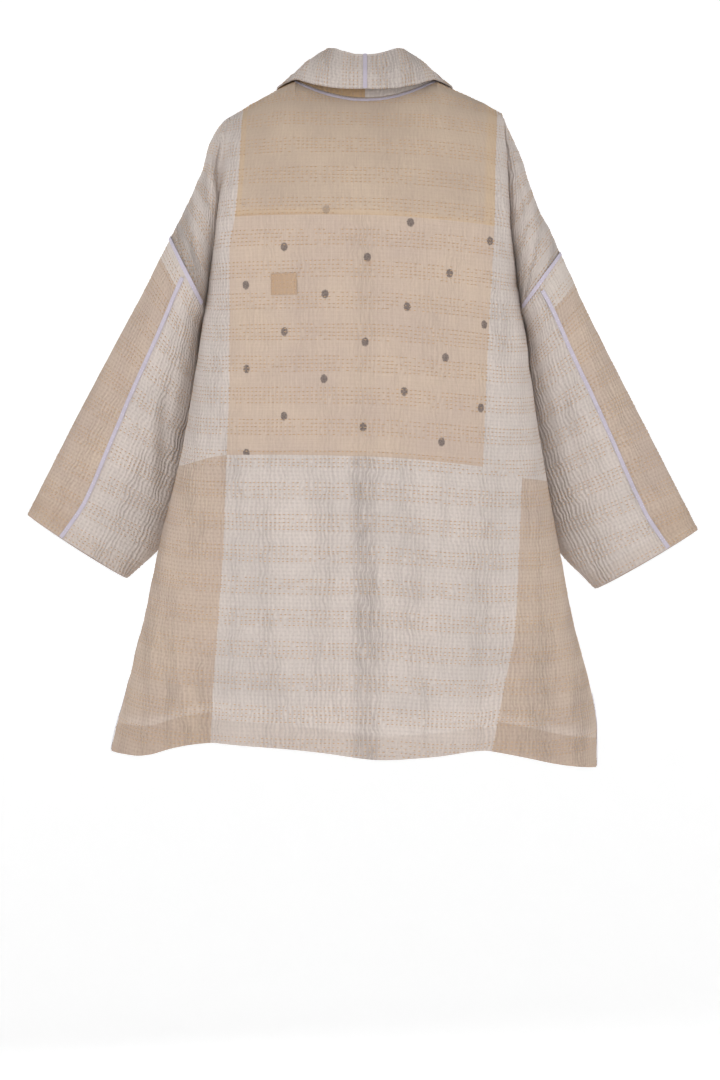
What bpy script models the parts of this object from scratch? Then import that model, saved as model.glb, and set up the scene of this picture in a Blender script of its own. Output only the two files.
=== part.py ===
"""Quilted cotton kimono coat, filled out and hollow, seen best from behind.

The cloth is one wall about two layers thick. Its outer face is worked out from
body rings, the shoulder line, the dropped shoulders and the sleeve sections;
each cut piece is a stretch of that face with its own thickness and a narrow
gap at every seam. The wearer faces -Y, the wearer's left is +X, and the origin
lies between the high shoulder points.
"""

import math
from collections import defaultdict, namedtuple

import bmesh
import bpy
from mathutils import Vector

# Cloth
WALL = 0.0016
COLLAR_WALL = 0.0020
SEAM_GAP = 0.0003
QUILT_RISE = 0.0005
TAPE_WIDTH = 0.0065
TAPE_WALL = 0.0007
LAID_ON_GAP = 0.00045

# Neck and front edge
NECK_HALF_WIDTH = 0.098
NECK_BACK_DEPTH = 0.055
NECK_BACK_HEIGHT = -0.029
NECK_POINT_HEIGHT = 0.003
NECK_FRONT_DEPTH = 0.092
NECK_FRONT_HEIGHT = -0.105
NECK_BACK_SLOPE = math.radians(32)

# Heights of the construction rows
UNDERARM_HEIGHT = -0.320
VENT_TOP_HEIGHT = -0.850
VENT_HEM_HEIGHT = -0.950
VENT_HALF_SPREAD = 0.005

# Rows of quilting in each height zone, and columns across each panel
YOKE_ROWS = 10
CHEST_ROWS = 6
WAIST_ROWS = 10
SKIRT_ROWS = 18
SLEEVE_ROWS = 20
NECK_COLUMNS = 4
SHOULDER_COLUMNS = 2
PANEL_COLUMNS = NECK_COLUMNS + SHOULDER_COLUMNS
STRIP_COLUMNS = 4
TONGUE_COLUMNS = 2
EDGE_COLUMNS = 2
ARM_COLUMNS = 6
TAPE_COLUMN = 3

# Collar section
COLLAR_ROLL = 0.0034
COLLAR_DIP_ANGLE = 7.0
FALL_BOW = 0.004
STAND_STEPS = 2
ROLL_STEPS = 4
FALL_STEPS = 3

# Places of the small laid-on pieces, as shares across and construction rows
NECK_TAPE_ROW = 0.035
SLEEVE_TAPE_START = 0.024
VENT_TOP_STEP = 15
VENT_TAPE_WIDTH = 0.0030
PATCH_ACROSS = (0.42, 0.58)
PATCH_ROWS = (1.60, 1.84)

# Roundness of the body rings, 2 is an ellipse and more is squarer
BACK_ROUNDNESS = 2.25
FRONT_ROUNDNESS = 2.05

Ring = namedtuple("Ring", "z half_left half_right back front")
BODY_RINGS = (
    Ring(-0.205, 0.2050, 0.2000, 0.116, 0.118),
    Ring(-0.260, 0.2140, 0.2085, 0.120, 0.124),
    Ring(-0.320, 0.2220, 0.2150, 0.123, 0.130),
    Ring(-0.400, 0.2365, 0.2300, 0.126, 0.134),
    Ring(-0.512, 0.2560, 0.2470, 0.130, 0.139),
    Ring(-0.641, 0.2865, 0.2700, 0.138, 0.144),
    Ring(-0.750, 0.3090, 0.2910, 0.147, 0.148),
    Ring(-0.862, 0.3370, 0.3190, 0.156, 0.152),
    Ring(-0.900, 0.3480, 0.3240, 0.159, 0.154),
    Ring(-0.953, 0.3590, 0.3235, 0.163, 0.156),
)

# Seams and hem of the back, height by distance from the centre, left positive
SeamPoint = namedtuple("SeamPoint", "x yoke waist")
BACK_SEAMS = (
    SeamPoint(-0.250, -0.215, -0.5560),
    SeamPoint(-0.214, -0.213, -0.5530),
    SeamPoint(-0.161, -0.208, -0.5390),
    SeamPoint(0.015, -0.198, -0.5250),
    SeamPoint(0.189, -0.197, -0.5224),
    SeamPoint(0.250, -0.199, -0.5345),
)
HemPoint = namedtuple("HemPoint", "x back")
BACK_HEM = (
    HemPoint(-0.324, -0.953),
    HemPoint(-0.265, -0.943),
    HemPoint(-0.219, -0.932),
    HemPoint(-0.153, -0.922),
    HemPoint(-0.089, -0.928),
    HemPoint(-0.025, -0.931),
    HemPoint(0.060, -0.922),
    HemPoint(0.146, -0.915),
    HemPoint(0.212, -0.912),
    HemPoint(0.258, -0.919),
    HemPoint(0.310, -0.932),
    HemPoint(0.356, -0.930),
)
FRONT_YOKE_HEIGHT = -0.200
FRONT_WAIST_HEIGHT = -0.530
FRONT_HEM_HEIGHT = -0.924

# Edges of the middle back panels, distance from the centre by height
PanelEdge = namedtuple("PanelEdge", "z left right_upper right_lower")
PANEL_EDGES = (
    PanelEdge(-0.040, 0.1690, 0.1840, 0.2140),
    PanelEdge(-0.120, 0.1720, 0.1790, 0.2140),
    PanelEdge(-0.200, 0.1780, 0.1770, 0.2140),
    PanelEdge(-0.240, 0.1845, 0.1750, 0.2140),
    PanelEdge(-0.440, 0.1860, 0.1640, 0.2140),
    PanelEdge(-0.550, 0.1895, 0.1600, 0.2140),
    PanelEdge(-0.640, 0.1920, 0.1600, 0.2100),
    PanelEdge(-0.760, 0.2000, 0.1600, 0.2030),
    PanelEdge(-0.830, 0.2050, 0.1600, 0.1890),
    PanelEdge(-0.930, 0.2100, 0.1600, 0.1700),
)
EDGE_LIMIT = 0.95
RIGHT_EDGE_LIMIT = 0.955
PANEL_SHARE = 0.93

# Shoulder line from the neck out and on over the upper arm
ShoulderPoint = namedtuple("ShoulderPoint", "x z")
SHOULDER_LEFT = (
    ShoulderPoint(0.098, 0.003),
    ShoulderPoint(0.119, -0.008),
    ShoulderPoint(0.150, -0.025),
    ShoulderPoint(0.182, -0.043),
)
SHOULDER_RIGHT = (
    ShoulderPoint(0.098, 0.003),
    ShoulderPoint(0.140, -0.016),
    ShoulderPoint(0.179, -0.034),
    ShoulderPoint(0.190, -0.041),
)
ArmTopPoint = namedtuple("ArmTopPoint", "z x")
ARM_TOP_LEFT = (
    ArmTopPoint(-0.043, 0.182),
    ArmTopPoint(-0.050, 0.195),
    ArmTopPoint(-0.064, 0.207),
    ArmTopPoint(-0.092, 0.220),
    ArmTopPoint(-0.120, 0.228),
    ArmTopPoint(-0.148, 0.238),
    ArmTopPoint(-0.176, 0.251),
    ArmTopPoint(-0.216, 0.272),
)
ARM_TOP_RIGHT = (
    ArmTopPoint(-0.041, 0.190),
    ArmTopPoint(-0.064, 0.200),
    ArmTopPoint(-0.092, 0.214),
    ArmTopPoint(-0.120, 0.224),
    ArmTopPoint(-0.148, 0.234),
    ArmTopPoint(-0.176, 0.244),
    ArmTopPoint(-0.204, 0.258),
    ArmTopPoint(-0.238, 0.273),
)

# Dropped shoulder by row: how far down the arm top each row ends, the half
# depth of the arm's section, and the angle at which it meets the body's fold
Drop = namedtuple("Drop", "row top_share back_depth front_depth fold_left fold_right")
DROPPED_SHOULDER = (
    Drop(0.0, 0.00, 0.030, 0.028, 85, 92),
    Drop(0.5, 0.24, 0.046, 0.042, 100, 112),
    Drop(1.0, 0.60, 0.062, 0.056, 124, 136),
    Drop(1.5, 0.81, 0.067, 0.062, 150, 157),
    Drop(2.0, 1.00, 0.068, 0.064, 180, 180),
)

# Sleeve by share of its length: the inner line, the half depth, how far the
# sleeve swings to the front, and how far across its back the taped seam lies
Sleeve = namedtuple("Sleeve", "share inner_x inner_z half_depth swing seam_angle")
SLEEVE_LEFT = (
    Sleeve(0.00, 0.2220, -0.320, 0.068, 0.000, 92),
    Sleeve(0.06, 0.2290, -0.342, 0.067, 0.011, 89),
    Sleeve(0.12, 0.2315, -0.364, 0.066, 0.022, 86),
    Sleeve(0.25, 0.2340, -0.412, 0.062, 0.037, 80),
    Sleeve(0.50, 0.2480, -0.502, 0.053, 0.047, 75),
    Sleeve(0.75, 0.2660, -0.592, 0.044, 0.047, 74),
    Sleeve(0.87, 0.2840, -0.640, 0.040, 0.045, 74),
    Sleeve(1.00, 0.3370, -0.692, 0.035, 0.043, 74),
)
SLEEVE_RIGHT = (
    Sleeve(0.00, 0.2150, -0.320, 0.068, 0.000, 102),
    Sleeve(0.06, 0.2225, -0.343, 0.067, 0.011, 96),
    Sleeve(0.12, 0.2255, -0.366, 0.066, 0.022, 90),
    Sleeve(0.25, 0.2270, -0.415, 0.062, 0.037, 81),
    Sleeve(0.50, 0.2395, -0.505, 0.053, 0.047, 72),
    Sleeve(0.75, 0.2555, -0.598, 0.044, 0.047, 69),
    Sleeve(0.87, 0.2690, -0.644, 0.040, 0.045, 68),
    Sleeve(1.00, 0.3260, -0.707, 0.035, 0.043, 68),
)
CUFF_OUTER = {1: (0.4785, -0.602), -1: (0.4720, -0.623)}
SLEEVE_BOW = {1: 0.005, -1: 0.0015}
CUFF_FRONT_DROP = 0.007

# Soft lengthwise folds: where, how wide, how deep, and the rows they span
Fold = namedtuple("Fold", "x width depth top bottom")
BACK_FOLDS = (
    Fold(0.215, 0.030, -0.016, -0.560, -0.930),
    Fold(-0.165, 0.030, -0.018, -0.600, -0.930),
    Fold(-0.020, 0.060, 0.008, -0.560, -0.930),
    Fold(0.095, 0.030, -0.005, -0.640, -0.930),
)
FRONT_FOLDS = (
    Fold(0.190, 0.035, -0.014, -0.450, -0.920),
    Fold(-0.200, 0.035, -0.015, -0.480, -0.920),
)
SleeveFold = namedtuple("SleeveFold", "angle width depth start end")
SLEEVE_FOLDS = {
    1: (
        SleeveFold(146, 16, 0.006, 0.02, 0.88),
        SleeveFold(48, 20, 0.003, 0.10, 0.95),
    ),
    -1: (
        SleeveFold(138, 18, 0.004, 0.05, 0.80),
        SleeveFold(40, 18, 0.003, 0.25, 1.00),
    ),
}

# Collar by station from centre back to the front hem. The seam follows the
# neck and front edge; the roll and the edge of the fall are given here behind
# the shoulder line, and in front as places on the coat's own front
Collar = namedtuple("Collar", "turn roll_x roll_y roll_z edge_x edge_y edge_z")
COLLAR_BACK = (
    Collar(0.0, 0.000, 0.0480, 0.0320, 0.000, 0.0800, -0.0205),
    Collar(7.0, 0.009, 0.0475, 0.0325, 0.012, 0.0796, -0.0204),
    Collar(22.5, 0.027, 0.0430, 0.0375, 0.038, 0.0740, -0.0185),
    Collar(45.0, 0.044, 0.0270, 0.0450, 0.074, 0.0560, -0.0090),
    Collar(67.5, 0.053, 0.0050, 0.0470, 0.101, 0.0270, 0.0020),
    Collar(90.0, 0.057, -0.0200, 0.0390, 0.117, -0.0060, 0.0020),
)
FrontBand = namedtuple("FrontBand", "z seam_x roll_x edge_x lift lean_x lean_y lean_z")
COLLAR_FRONT = (
    FrontBand(0.003, NECK_HALF_WIDTH, 0.0570, 0.1170, 0.009, -0.041, -0.020, 0.036),
    FrontBand(-0.025, 0.0925, 0.0550, 0.1230, 0.009, -0.040, -0.022, 0.024),
    FrontBand(-0.060, 0.0860, 0.0520, 0.1270, 0.009, -0.037, -0.022, 0.013),
    FrontBand(-0.110, 0.0760, 0.0450, 0.1230, 0.008, -0.033, -0.016, 0.004),
    FrontBand(-0.160, 0.0660, 0.0370, 0.1140, 0.008, -0.030, -0.010, 0.000),
    FrontBand(-0.210, 0.0560, 0.0290, 0.1030, 0.007, -0.027, -0.007, 0.000),
    FrontBand(-0.270, 0.0490, 0.0220, 0.0930, 0.006, -0.027, -0.006, 0.000),
    FrontBand(-0.350, 0.0460, 0.0180, 0.0840, 0.006, -0.028, -0.006, 0.000),
    FrontBand(-0.450, 0.0460, 0.0160, 0.0780, 0.006, -0.030, -0.006, 0.000),
    FrontBand(-0.570, 0.0470, 0.0160, 0.0760, 0.006, -0.031, -0.006, 0.000),
    FrontBand(-0.690, 0.0490, 0.0170, 0.0780, 0.006, -0.032, -0.006, 0.000),
    FrontBand(-0.810, 0.0520, 0.0190, 0.0820, 0.006, -0.033, -0.006, 0.000),
    FrontBand(-0.918, 0.0550, 0.0210, 0.0860, 0.006, -0.034, -0.006, 0.000),
)


def read(table, column, key, at):
    """Value of one column of a table, on a smooth curve with no overshoot."""
    rows = sorted(table, key=lambda row: getattr(row, key))
    xs = [getattr(row, key) for row in rows]
    ys = [getattr(row, column) for row in rows]
    if at <= xs[0]:
        return ys[0]
    if at >= xs[-1]:
        return ys[-1]
    i = max(k for k in range(len(xs) - 1) if xs[k] <= at)
    slopes = [(ys[k + 1] - ys[k]) / (xs[k + 1] - xs[k]) for k in range(len(xs) - 1)]

    def tangent(k):
        if k in (0, len(xs) - 1):
            return slopes[min(k, len(slopes) - 1)]
        before, after = slopes[k - 1], slopes[k]
        if before * after <= 0:
            return 0.0
        return 2 * before * after / (before + after)

    step = xs[i + 1] - xs[i]
    t = (at - xs[i]) / step
    start = (1 + 2 * t) * (1 - t) ** 2 * ys[i] + t * (1 - t) ** 2 * step * tangent(i)
    return start + t * t * (3 - 2 * t) * ys[i + 1] - t * t * (1 - t) * step * tangent(i + 1)


def mix(start, end, share):
    return start + (end - start) * share


def ramp(value, start, end):
    """Smooth rise from 0 at start to 1 at end."""
    share = min(1.0, max(0.0, (value - start) / (end - start)))
    return share * share * (3 - 2 * share)


def name_of(side):
    return "left" if side > 0 else "right"


def half_width(side, z):
    return read(BODY_RINGS, "half_left" if side > 0 else "half_right", "z", z)


def body_depth(face, z):
    return read(BODY_RINGS, "back" if face > 0 else "front", "z", z)


def shoulder(side):
    return SHOULDER_LEFT if side > 0 else SHOULDER_RIGHT


def arm_top(side):
    return ARM_TOP_LEFT if side > 0 else ARM_TOP_RIGHT


def section_drop(side, face, row):
    """Half depth of the arm section and the angle where it meets the body."""
    depth = read(DROPPED_SHOULDER, "back_depth" if face > 0 else "front_depth", "row", row)
    fold = read(DROPPED_SHOULDER, "fold_left" if side > 0 else "fold_right", "row", row)
    return depth, math.radians(fold)


def between_rows(row, yoke, waist, hem):
    """Height of a construction row from those of the yoke, waist and hem."""
    if row <= 2:
        return mix(yoke, UNDERARM_HEIGHT, row - 1)
    if row <= 3:
        return mix(UNDERARM_HEIGHT, waist, row - 2)
    return mix(waist, hem, row - 3)


def back_height(side, row, across):
    """Height on the back, where the seams and the hem rise and dip."""
    height = between_rows(row, -0.2, -0.54, -0.93)
    for _ in range(3):
        x = side * half_width(side, height) * across
        yoke = read(BACK_SEAMS, "yoke", "x", x)
        waist = read(BACK_SEAMS, "waist", "x", x)
        hem = read(BACK_HEM, "back", "x", x)
        height = between_rows(row, yoke, waist, hem)
    return height


def front_height(side, row, across):
    """Height on the front, level in the middle and joined to the back's sides."""
    level = between_rows(row, FRONT_YOKE_HEIGHT, FRONT_WAIST_HEIGHT, FRONT_HEM_HEIGHT)
    return mix(level, back_height(side, row, 1.0), across**3)


def fold_depth(face, side, x, z):
    """Ridge or trough of the soft lengthwise folds at a place."""
    total = 0.0
    for fold in BACK_FOLDS if face > 0 else FRONT_FOLDS:
        across = math.exp(-((side * x - fold.x) / fold.width) ** 2)
        total += fold.depth * across * ramp(z, fold.top, fold.bottom)
    return total


def vent_spread(z):
    """How far each edge of a side vent stands off the side line."""
    share = (VENT_TOP_HEIGHT - z) / (VENT_TOP_HEIGHT - VENT_HEM_HEIGHT)
    return VENT_HALF_SPREAD * min(1.0, max(0.0, share)) ** 0.6


def ring_point(side, face, across, row):
    """Body below the yoke row; across runs from 0 at the centre to 1 at the side."""
    height = (back_height if face > 0 else front_height)(side, row, across)
    x = half_width(side, height) * across
    depth, fold = section_drop(side, face, min(row, 2.0))
    side_depth = depth * math.sin(fold) if row < 2 else 0.0
    roundness = BACK_ROUNDNESS if face > 0 else FRONT_ROUNDNESS
    middle = body_depth(face, height)
    profile = max(0.0, 1 - across**roundness) ** (1 / roundness)
    y = side_depth + (middle - side_depth) * profile
    y += fold_depth(face, side, x, height) * min(1.0, 3 * profile)
    if row > 3:
        y += vent_spread(height) * across**12
    return Vector((side * x, face * y, height))


def neck_share(side):
    """How far across the top of the body the neck reaches."""
    return NECK_HALF_WIDTH / shoulder(side)[-1].x


def top_point(side, face, across):
    """Neckline, then the shoulder line out to the shoulder point."""
    x = shoulder(side)[-1].x * across
    if across >= neck_share(side):
        return Vector((side * x, 0.0, read(shoulder(side), "z", "x", x)))
    sine = across / neck_share(side)
    cosine = math.sqrt(max(0.0, 1 - sine * sine))
    if face > 0:
        z = mix(NECK_BACK_HEIGHT, NECK_POINT_HEIGHT, sine * sine)
        return Vector((side * x, NECK_BACK_DEPTH * cosine, z))
    z = mix(NECK_FRONT_HEIGHT, NECK_POINT_HEIGHT, sine * sine)
    return Vector((side * x, -NECK_FRONT_DEPTH * cosine, z))


def torso_point(side, face, across, row):
    """Body from the shoulder line (row 0) to the hem (row 4)."""
    if row >= 1:
        return ring_point(side, face, across, row)
    top = top_point(side, face, across)
    ring = ring_point(side, face, across, 1.0)
    start = 0.0
    if across < neck_share(side):
        start = NECK_BACK_SLOPE * math.sqrt(1 - (across / neck_share(side)) ** 2)
    angle = mix(start, math.pi / 2, row)
    outward = (math.sin(angle) - math.sin(start)) / (1 - math.sin(start))
    downward = (math.cos(start) - math.cos(angle)) / math.cos(start)
    return Vector((
        mix(top.x, ring.x, row),
        mix(top.y, ring.y, outward),
        mix(top.z, ring.z, downward),
    ))


def arm_section(outer, meet, meet_angle, depth, angle):
    """Point of a half-round arm section between its outer and inner lines."""
    share = (1 - math.cos(angle)) / (1 - math.cos(meet_angle))
    x = mix(outer[0], meet[0], share)
    z = mix(outer[1], meet[1], share)
    return x, depth * math.sin(angle), z


def seam_angle(side, share):
    table = SLEEVE_LEFT if side > 0 else SLEEVE_RIGHT
    return math.radians(read(table, "seam_angle", "share", share))


def column_angle(side, share, column):
    """Angle of a lengthwise column, with one column on the taped seam."""
    seam = seam_angle(side, share)
    if column <= TAPE_COLUMN:
        return seam * column / TAPE_COLUMN
    return mix(seam, math.pi, (column - TAPE_COLUMN) / (ARM_COLUMNS - TAPE_COLUMN))


def drop_point(side, face, column, row):
    """Dropped shoulder, from the arm's top line to the fold beside the body."""
    depth, fold = section_drop(side, face, row)
    valley = torso_point(side, face, 1.0, row)
    if row < 1:
        depth = abs(valley.y) / math.sin(fold)
    share = read(DROPPED_SHOULDER, "top_share", "row", row)
    table = arm_top(side)
    top_z = mix(table[0].z, table[-1].z, share)
    outer = (read(table, "x", "z", top_z), top_z)
    angle = column_angle(side, 0.0, column) * fold / math.pi
    x, y, z = arm_section(outer, (abs(valley.x), valley.z), fold, depth, angle)
    return Vector((side * x, face * y, z))


def sleeve_point(side, face, angle, share):
    """Sleeve from the armhole (share 0) to the cuff (share 1)."""
    table = SLEEVE_LEFT if side > 0 else SLEEVE_RIGHT
    start = arm_top(side)[-1]
    cuff_x, cuff_z = CUFF_OUTER[side]
    bow = SLEEVE_BOW[side] * math.sin(math.pi * share)
    outer = (mix(start.x, cuff_x, share) + bow, mix(start.z, cuff_z, share))
    inner = (read(table, "inner_x", "share", share), read(table, "inner_z", "share", share))
    armhole_depth = section_drop(side, face, 2.0)[0]
    depth = read(table, "half_depth", "share", share)
    depth = mix(armhole_depth, depth, ramp(share, 0.0, 0.2))
    for fold in SLEEVE_FOLDS[side]:
        across = math.exp(-((math.degrees(angle) - fold.angle) / fold.width) ** 2)
        along = math.sin(math.pi * min(1.0, max(0.0, (share - fold.start) / (fold.end - fold.start))))
        depth -= fold.depth * across * along
    x, y, z = arm_section(outer, inner, math.pi, depth, angle)
    swing = read(table, "swing", "share", share)
    if face < 0:
        z -= CUFF_FRONT_DROP * math.sin(angle) * share**2
    return Vector((side * x, face * y - swing, z))


def across_at(side, face, row, table, column, limit):
    """How far across a row lies the place whose distance a table gives by height."""
    across = 0.5
    for _ in range(10):
        point = torso_point(side, face, across, row)
        across *= read(table, column, "z", point.z) / abs(point.x)
        across = min(limit, across)
    return across


def zone_rows():
    """Row values from the shoulder line to the hem, with the zone of each step."""
    rows = [0.0]
    zones = []
    for zone, count in enumerate((YOKE_ROWS, CHEST_ROWS, WAIST_ROWS, SKIRT_ROWS)):
        rows += [zone + (k + 1) / count for k in range(count)]
        zones += [zone] * count
    return rows, zones


def spread(start, end, count):
    return [mix(start, end, k / count) for k in range(count)]


def middle_columns(side, edge):
    """Places across a middle panel: closer by the neck point, then to its edge."""
    neck = neck_share(side) * edge / PANEL_SHARE
    turns = [math.pi / 2 * k / NECK_COLUMNS for k in range(NECK_COLUMNS)]
    return [neck * math.sin(turn) for turn in turns] + spread(neck, edge, SHOULDER_COLUMNS)


def back_columns(side, row):
    """Places across the back of one row, with the panel edges among them."""
    if side > 0:
        edge = across_at(side, 1, row, PANEL_EDGES, "left", EDGE_LIMIT)
        return middle_columns(side, edge) + spread(edge, 1, STRIP_COLUMNS) + [1.0]
    seam_upper = across_at(side, 1, 3.0, PANEL_EDGES, "right_upper", RIGHT_EDGE_LIMIT)
    seam_lower = across_at(side, 1, 3.0, PANEL_EDGES, "right_lower", RIGHT_EDGE_LIMIT)
    if row <= 3:
        upper = across_at(side, 1, row, PANEL_EDGES, "right_upper", RIGHT_EDGE_LIMIT)
        lower = mix(upper, 1, (seam_lower - seam_upper) / (1 - seam_upper))
    else:
        lower = across_at(side, 1, row, PANEL_EDGES, "right_lower", RIGHT_EDGE_LIMIT)
        upper = lower * seam_upper / seam_lower
    columns = middle_columns(side, upper) + spread(upper, lower, TONGUE_COLUMNS)
    return columns + spread(lower, 1, EDGE_COLUMNS) + [1.0]


def front_edge(side, row):
    """How far across a row lies the seam of the front band."""
    if row == 0:
        return neck_share(side)
    return across_at(side, -1, row, COLLAR_FRONT, "seam_x", EDGE_LIMIT)


def front_columns(side, row):
    """Places across the front, from the band seam to the side.

    On the shoulder line they are the back's own places, and below it they even out.
    """
    shoulder_places = back_columns(side, 0.0)[NECK_COLUMNS:]
    edge = front_edge(side, row)
    last = len(shoulder_places) - 1
    columns = []
    for k, place in enumerate(shoulder_places):
        share = (place - neck_share(side)) / (1 - neck_share(side))
        columns.append(mix(edge, 1.0, mix(share, k / last, min(1.0, 2 * row))))
    return columns


def back_piece(side, zone, column):
    """Name of the panel that holds one cell of the back."""
    in_middle = column < PANEL_COLUMNS
    if zone == 3:
        if side < 0:
            in_middle = column < PANEL_COLUMNS + TONGUE_COLUMNS
        return "back_lower_centre" if in_middle else "back_lower_" + name_of(side)
    if not in_middle:
        return "back_side_" + name_of(side)
    return "back_yoke" if zone == 0 else "back_centre"


def front_piece(side, zone, column):
    level = "lower" if zone == 3 else "upper"
    return f"front_{level}_{name_of(side)}"


class Cloth:
    """One joined outer face, each cell of it marked with its piece's name."""

    def __init__(self):
        self.mesh = bmesh.new()
        self.rise = self.mesh.verts.layers.float.new("rise")
        self.piece = self.mesh.faces.layers.int.new("piece")
        self.names = []

    def add_grid(self, points, rises, namer, outward):
        """Joins rows of points into cells; outward turns each cell's face out."""
        corners = []
        for row, rise in zip(points, rises):
            line = []
            for point in row:
                vert = self.mesh.verts.new(point)
                vert[self.rise] = rise
                line.append(vert)
            corners.append(line)
        for j in range(len(corners) - 1):
            for i in range(len(corners[j]) - 1):
                cell = [corners[j][i], corners[j + 1][i], corners[j + 1][i + 1], corners[j][i + 1]]
                if not outward:
                    cell.reverse()
                name = namer(j, i)
                if name not in self.names:
                    self.names.append(name)
                self.mesh.faces.new(cell)[self.piece] = self.names.index(name)

    def join(self, underarms=()):
        """Joins what meets, and marks the points where body and sleeve part."""
        bmesh.ops.remove_doubles(self.mesh, verts=self.mesh.verts[:], dist=0.00002)
        bmesh.ops.dissolve_degenerate(self.mesh, edges=self.mesh.edges[:], dist=0.00002)
        self.mesh.normal_update()
        self.mesh.verts.index_update()
        self.underarms = set()
        for vert in self.mesh.verts:
            if any((vert.co - point).length < 0.0001 for point in underarms):
                self.underarms.add(vert)

    def way_out(self, vert, name):
        """Way outwards; at the underarm, down for the body and in for the sleeve."""
        if vert not in self.underarms:
            return vert.normal
        side = math.copysign(1, vert.co.x)
        return Vector((-side, 0, 0)) if name.startswith("sleeve") else Vector((0.6 * side, 0, -0.8))

    def solid(self, name, wall):
        """Closed wall of one piece, drawn in by half a seam gap at its edges."""
        index = self.names.index(name)
        cells = [face for face in self.mesh.faces if face[self.piece] == index]
        own = set(cells)
        rim = defaultdict(list)
        for face in cells:
            for loop in face.loops:
                if sum(other in own for other in loop.edge.link_faces) == 1:
                    rim[loop.vert].append((loop, face))
                    rim[loop.link_loop_next.vert].append((loop, face))
        result = bmesh.new()
        outer = {}
        inner = {}
        for vert in {vert for face in cells for vert in face.verts}:
            base = vert.co + self.inset(rim[vert]) if vert in rim else vert.co.copy()
            way = self.way_out(vert, name)
            outer[vert] = result.verts.new(base + way * vert[self.rise])
            inner[vert] = result.verts.new(base - way * wall)
        for face in cells:
            result.faces.new([outer[vert] for vert in face.verts])
            result.faces.new([inner[vert] for vert in reversed(face.verts)])
        for face in cells:
            for loop in face.loops:
                if sum(other in own for other in loop.edge.link_faces) == 1:
                    a, b = loop.vert, loop.link_loop_next.vert
                    if b not in self.underarms and (a in self.underarms or a.index < b.index):
                        result.faces.new([outer[b], outer[a], inner[b]])
                        result.faces.new([outer[a], inner[a], inner[b]])
                    else:
                        result.faces.new([outer[b], outer[a], inner[a]])
                        result.faces.new([outer[b], inner[a], inner[b]])
        return finish(result, name)

    @staticmethod
    def inset(edges):
        """Move that brings both edges at a rim corner in by half the seam gap."""
        ways = []
        for loop, face in edges:
            along = loop.link_loop_next.vert.co - loop.vert.co
            ways.append(face.normal.cross(along).normalized())
        total = Vector((0, 0, 0))
        for way in ways:
            total += way
        share = sum(total.normalized().dot(way) for way in ways) / len(ways)
        return total.normalized() * (SEAM_GAP / 2 / max(0.35, share))


def finish(mesh, name):
    """Turns a finished mesh into a named object with its own cloth colour."""
    data = bpy.data.meshes.new(name)
    mesh.to_mesh(data)
    mesh.free()
    data.shade_smooth()
    data.set_sharp_from_angle(angle=math.radians(40))
    item = bpy.data.objects.new(name, data)
    bpy.context.collection.objects.link(item)
    data.materials.append(cloth_material(name))
    return item


def neck_seam(side, degrees):
    """Point of the back neck seam, by the angle round from centre back."""
    return torso_point(side, 1, neck_share(side) * math.sin(math.radians(degrees)), 0.0)


def collar_sections(side):
    """Seam, roll and fall-edge points of each station, with the way outwards."""
    sections = []
    step = 90 / NECK_COLUMNS
    for degrees in [0, COLLAR_DIP_ANGLE] + [step * (k + 1) for k in range(NECK_COLUMNS)]:
        turn = math.radians(degrees)
        before = math.floor(degrees / step) * step
        seam = neck_seam(side, before).lerp(neck_seam(side, before + step), degrees / step % 1)
        place = [read(COLLAR_BACK, column, "turn", degrees) for column in Collar._fields[1:]]
        roll = Vector((side * place[0], place[1], place[2]))
        edge = Vector((side * place[3], place[4], place[5]))
        outward = Vector((side * math.sin(turn), math.cos(turn), 0.0))
        sections.append((seam, roll, edge, outward))
    rows = zone_rows()[0]
    for row in rows[1:YOKE_ROWS] + rows[YOKE_ROWS::2]:
        seam, outward = front_surface(side, front_edge(side, row), row)
        height = seam.z
        lean = [read(COLLAR_FRONT, column, "z", height) for column in ("lean_x", "lean_y", "lean_z")]
        free_roll = seam + Vector((side * lean[0], lean[1], lean[2]))
        roll_across = across_at(side, -1, row, COLLAR_FRONT, "roll_x", EDGE_LIMIT)
        roll, roll_outward = front_surface(side, roll_across, row)
        roll += roll_outward * (COLLAR_ROLL - WALL)
        edge_across = across_at(side, -1, row, COLLAR_FRONT, "edge_x", EDGE_LIMIT)
        edge, edge_outward = front_surface(side, edge_across, row)
        edge += edge_outward * read(COLLAR_FRONT, "lift", "z", height)
        roll = free_roll.lerp(roll, ramp(row, 0.6, 1.3))
        outward = (edge_outward + outward).normalized()
        sections.append((seam, roll, edge, outward))
    return sections


def collar_row(seam, roll, edge, outward):
    """Points of one station: up the stand, round the roll, out to the edge."""
    up = (roll - seam).normalized()
    outward = (outward - up * outward.dot(up)).normalized()
    centre = roll - up * COLLAR_ROLL
    seam = seam + up * 2 * SEAM_GAP - outward * COLLAR_WALL
    points = [seam.lerp(centre - outward * COLLAR_ROLL, k / STAND_STEPS) for k in range(STAND_STEPS)]
    for k in range(ROLL_STEPS + 1):
        turn = math.pi * k / ROLL_STEPS
        points.append(centre + (up * math.sin(turn) - outward * math.cos(turn)) * COLLAR_ROLL)
    start = centre + outward * COLLAR_ROLL
    for k in range(FALL_STEPS):
        share = (k + 1) / FALL_STEPS
        points.append(start.lerp(edge, share) + outward * FALL_BOW * math.sin(math.pi * share))
    return points


def surface(point_at, a, b):
    """A place on a surface of two values, and the direction outwards there."""
    step = 0.0005
    along_a = point_at(a + step, b) - point_at(a - step, b)
    along_b = point_at(a, b + step) - point_at(a, b - step)
    return point_at(a, b), along_a.cross(along_b).normalized()


def front_surface(side, across, row):
    """Place on the coat's front and the way out of it."""
    point, way = surface(lambda a, b: torso_point(side, -1, a, b), across, row)
    return point, way if way.y < 0 else -way


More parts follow.
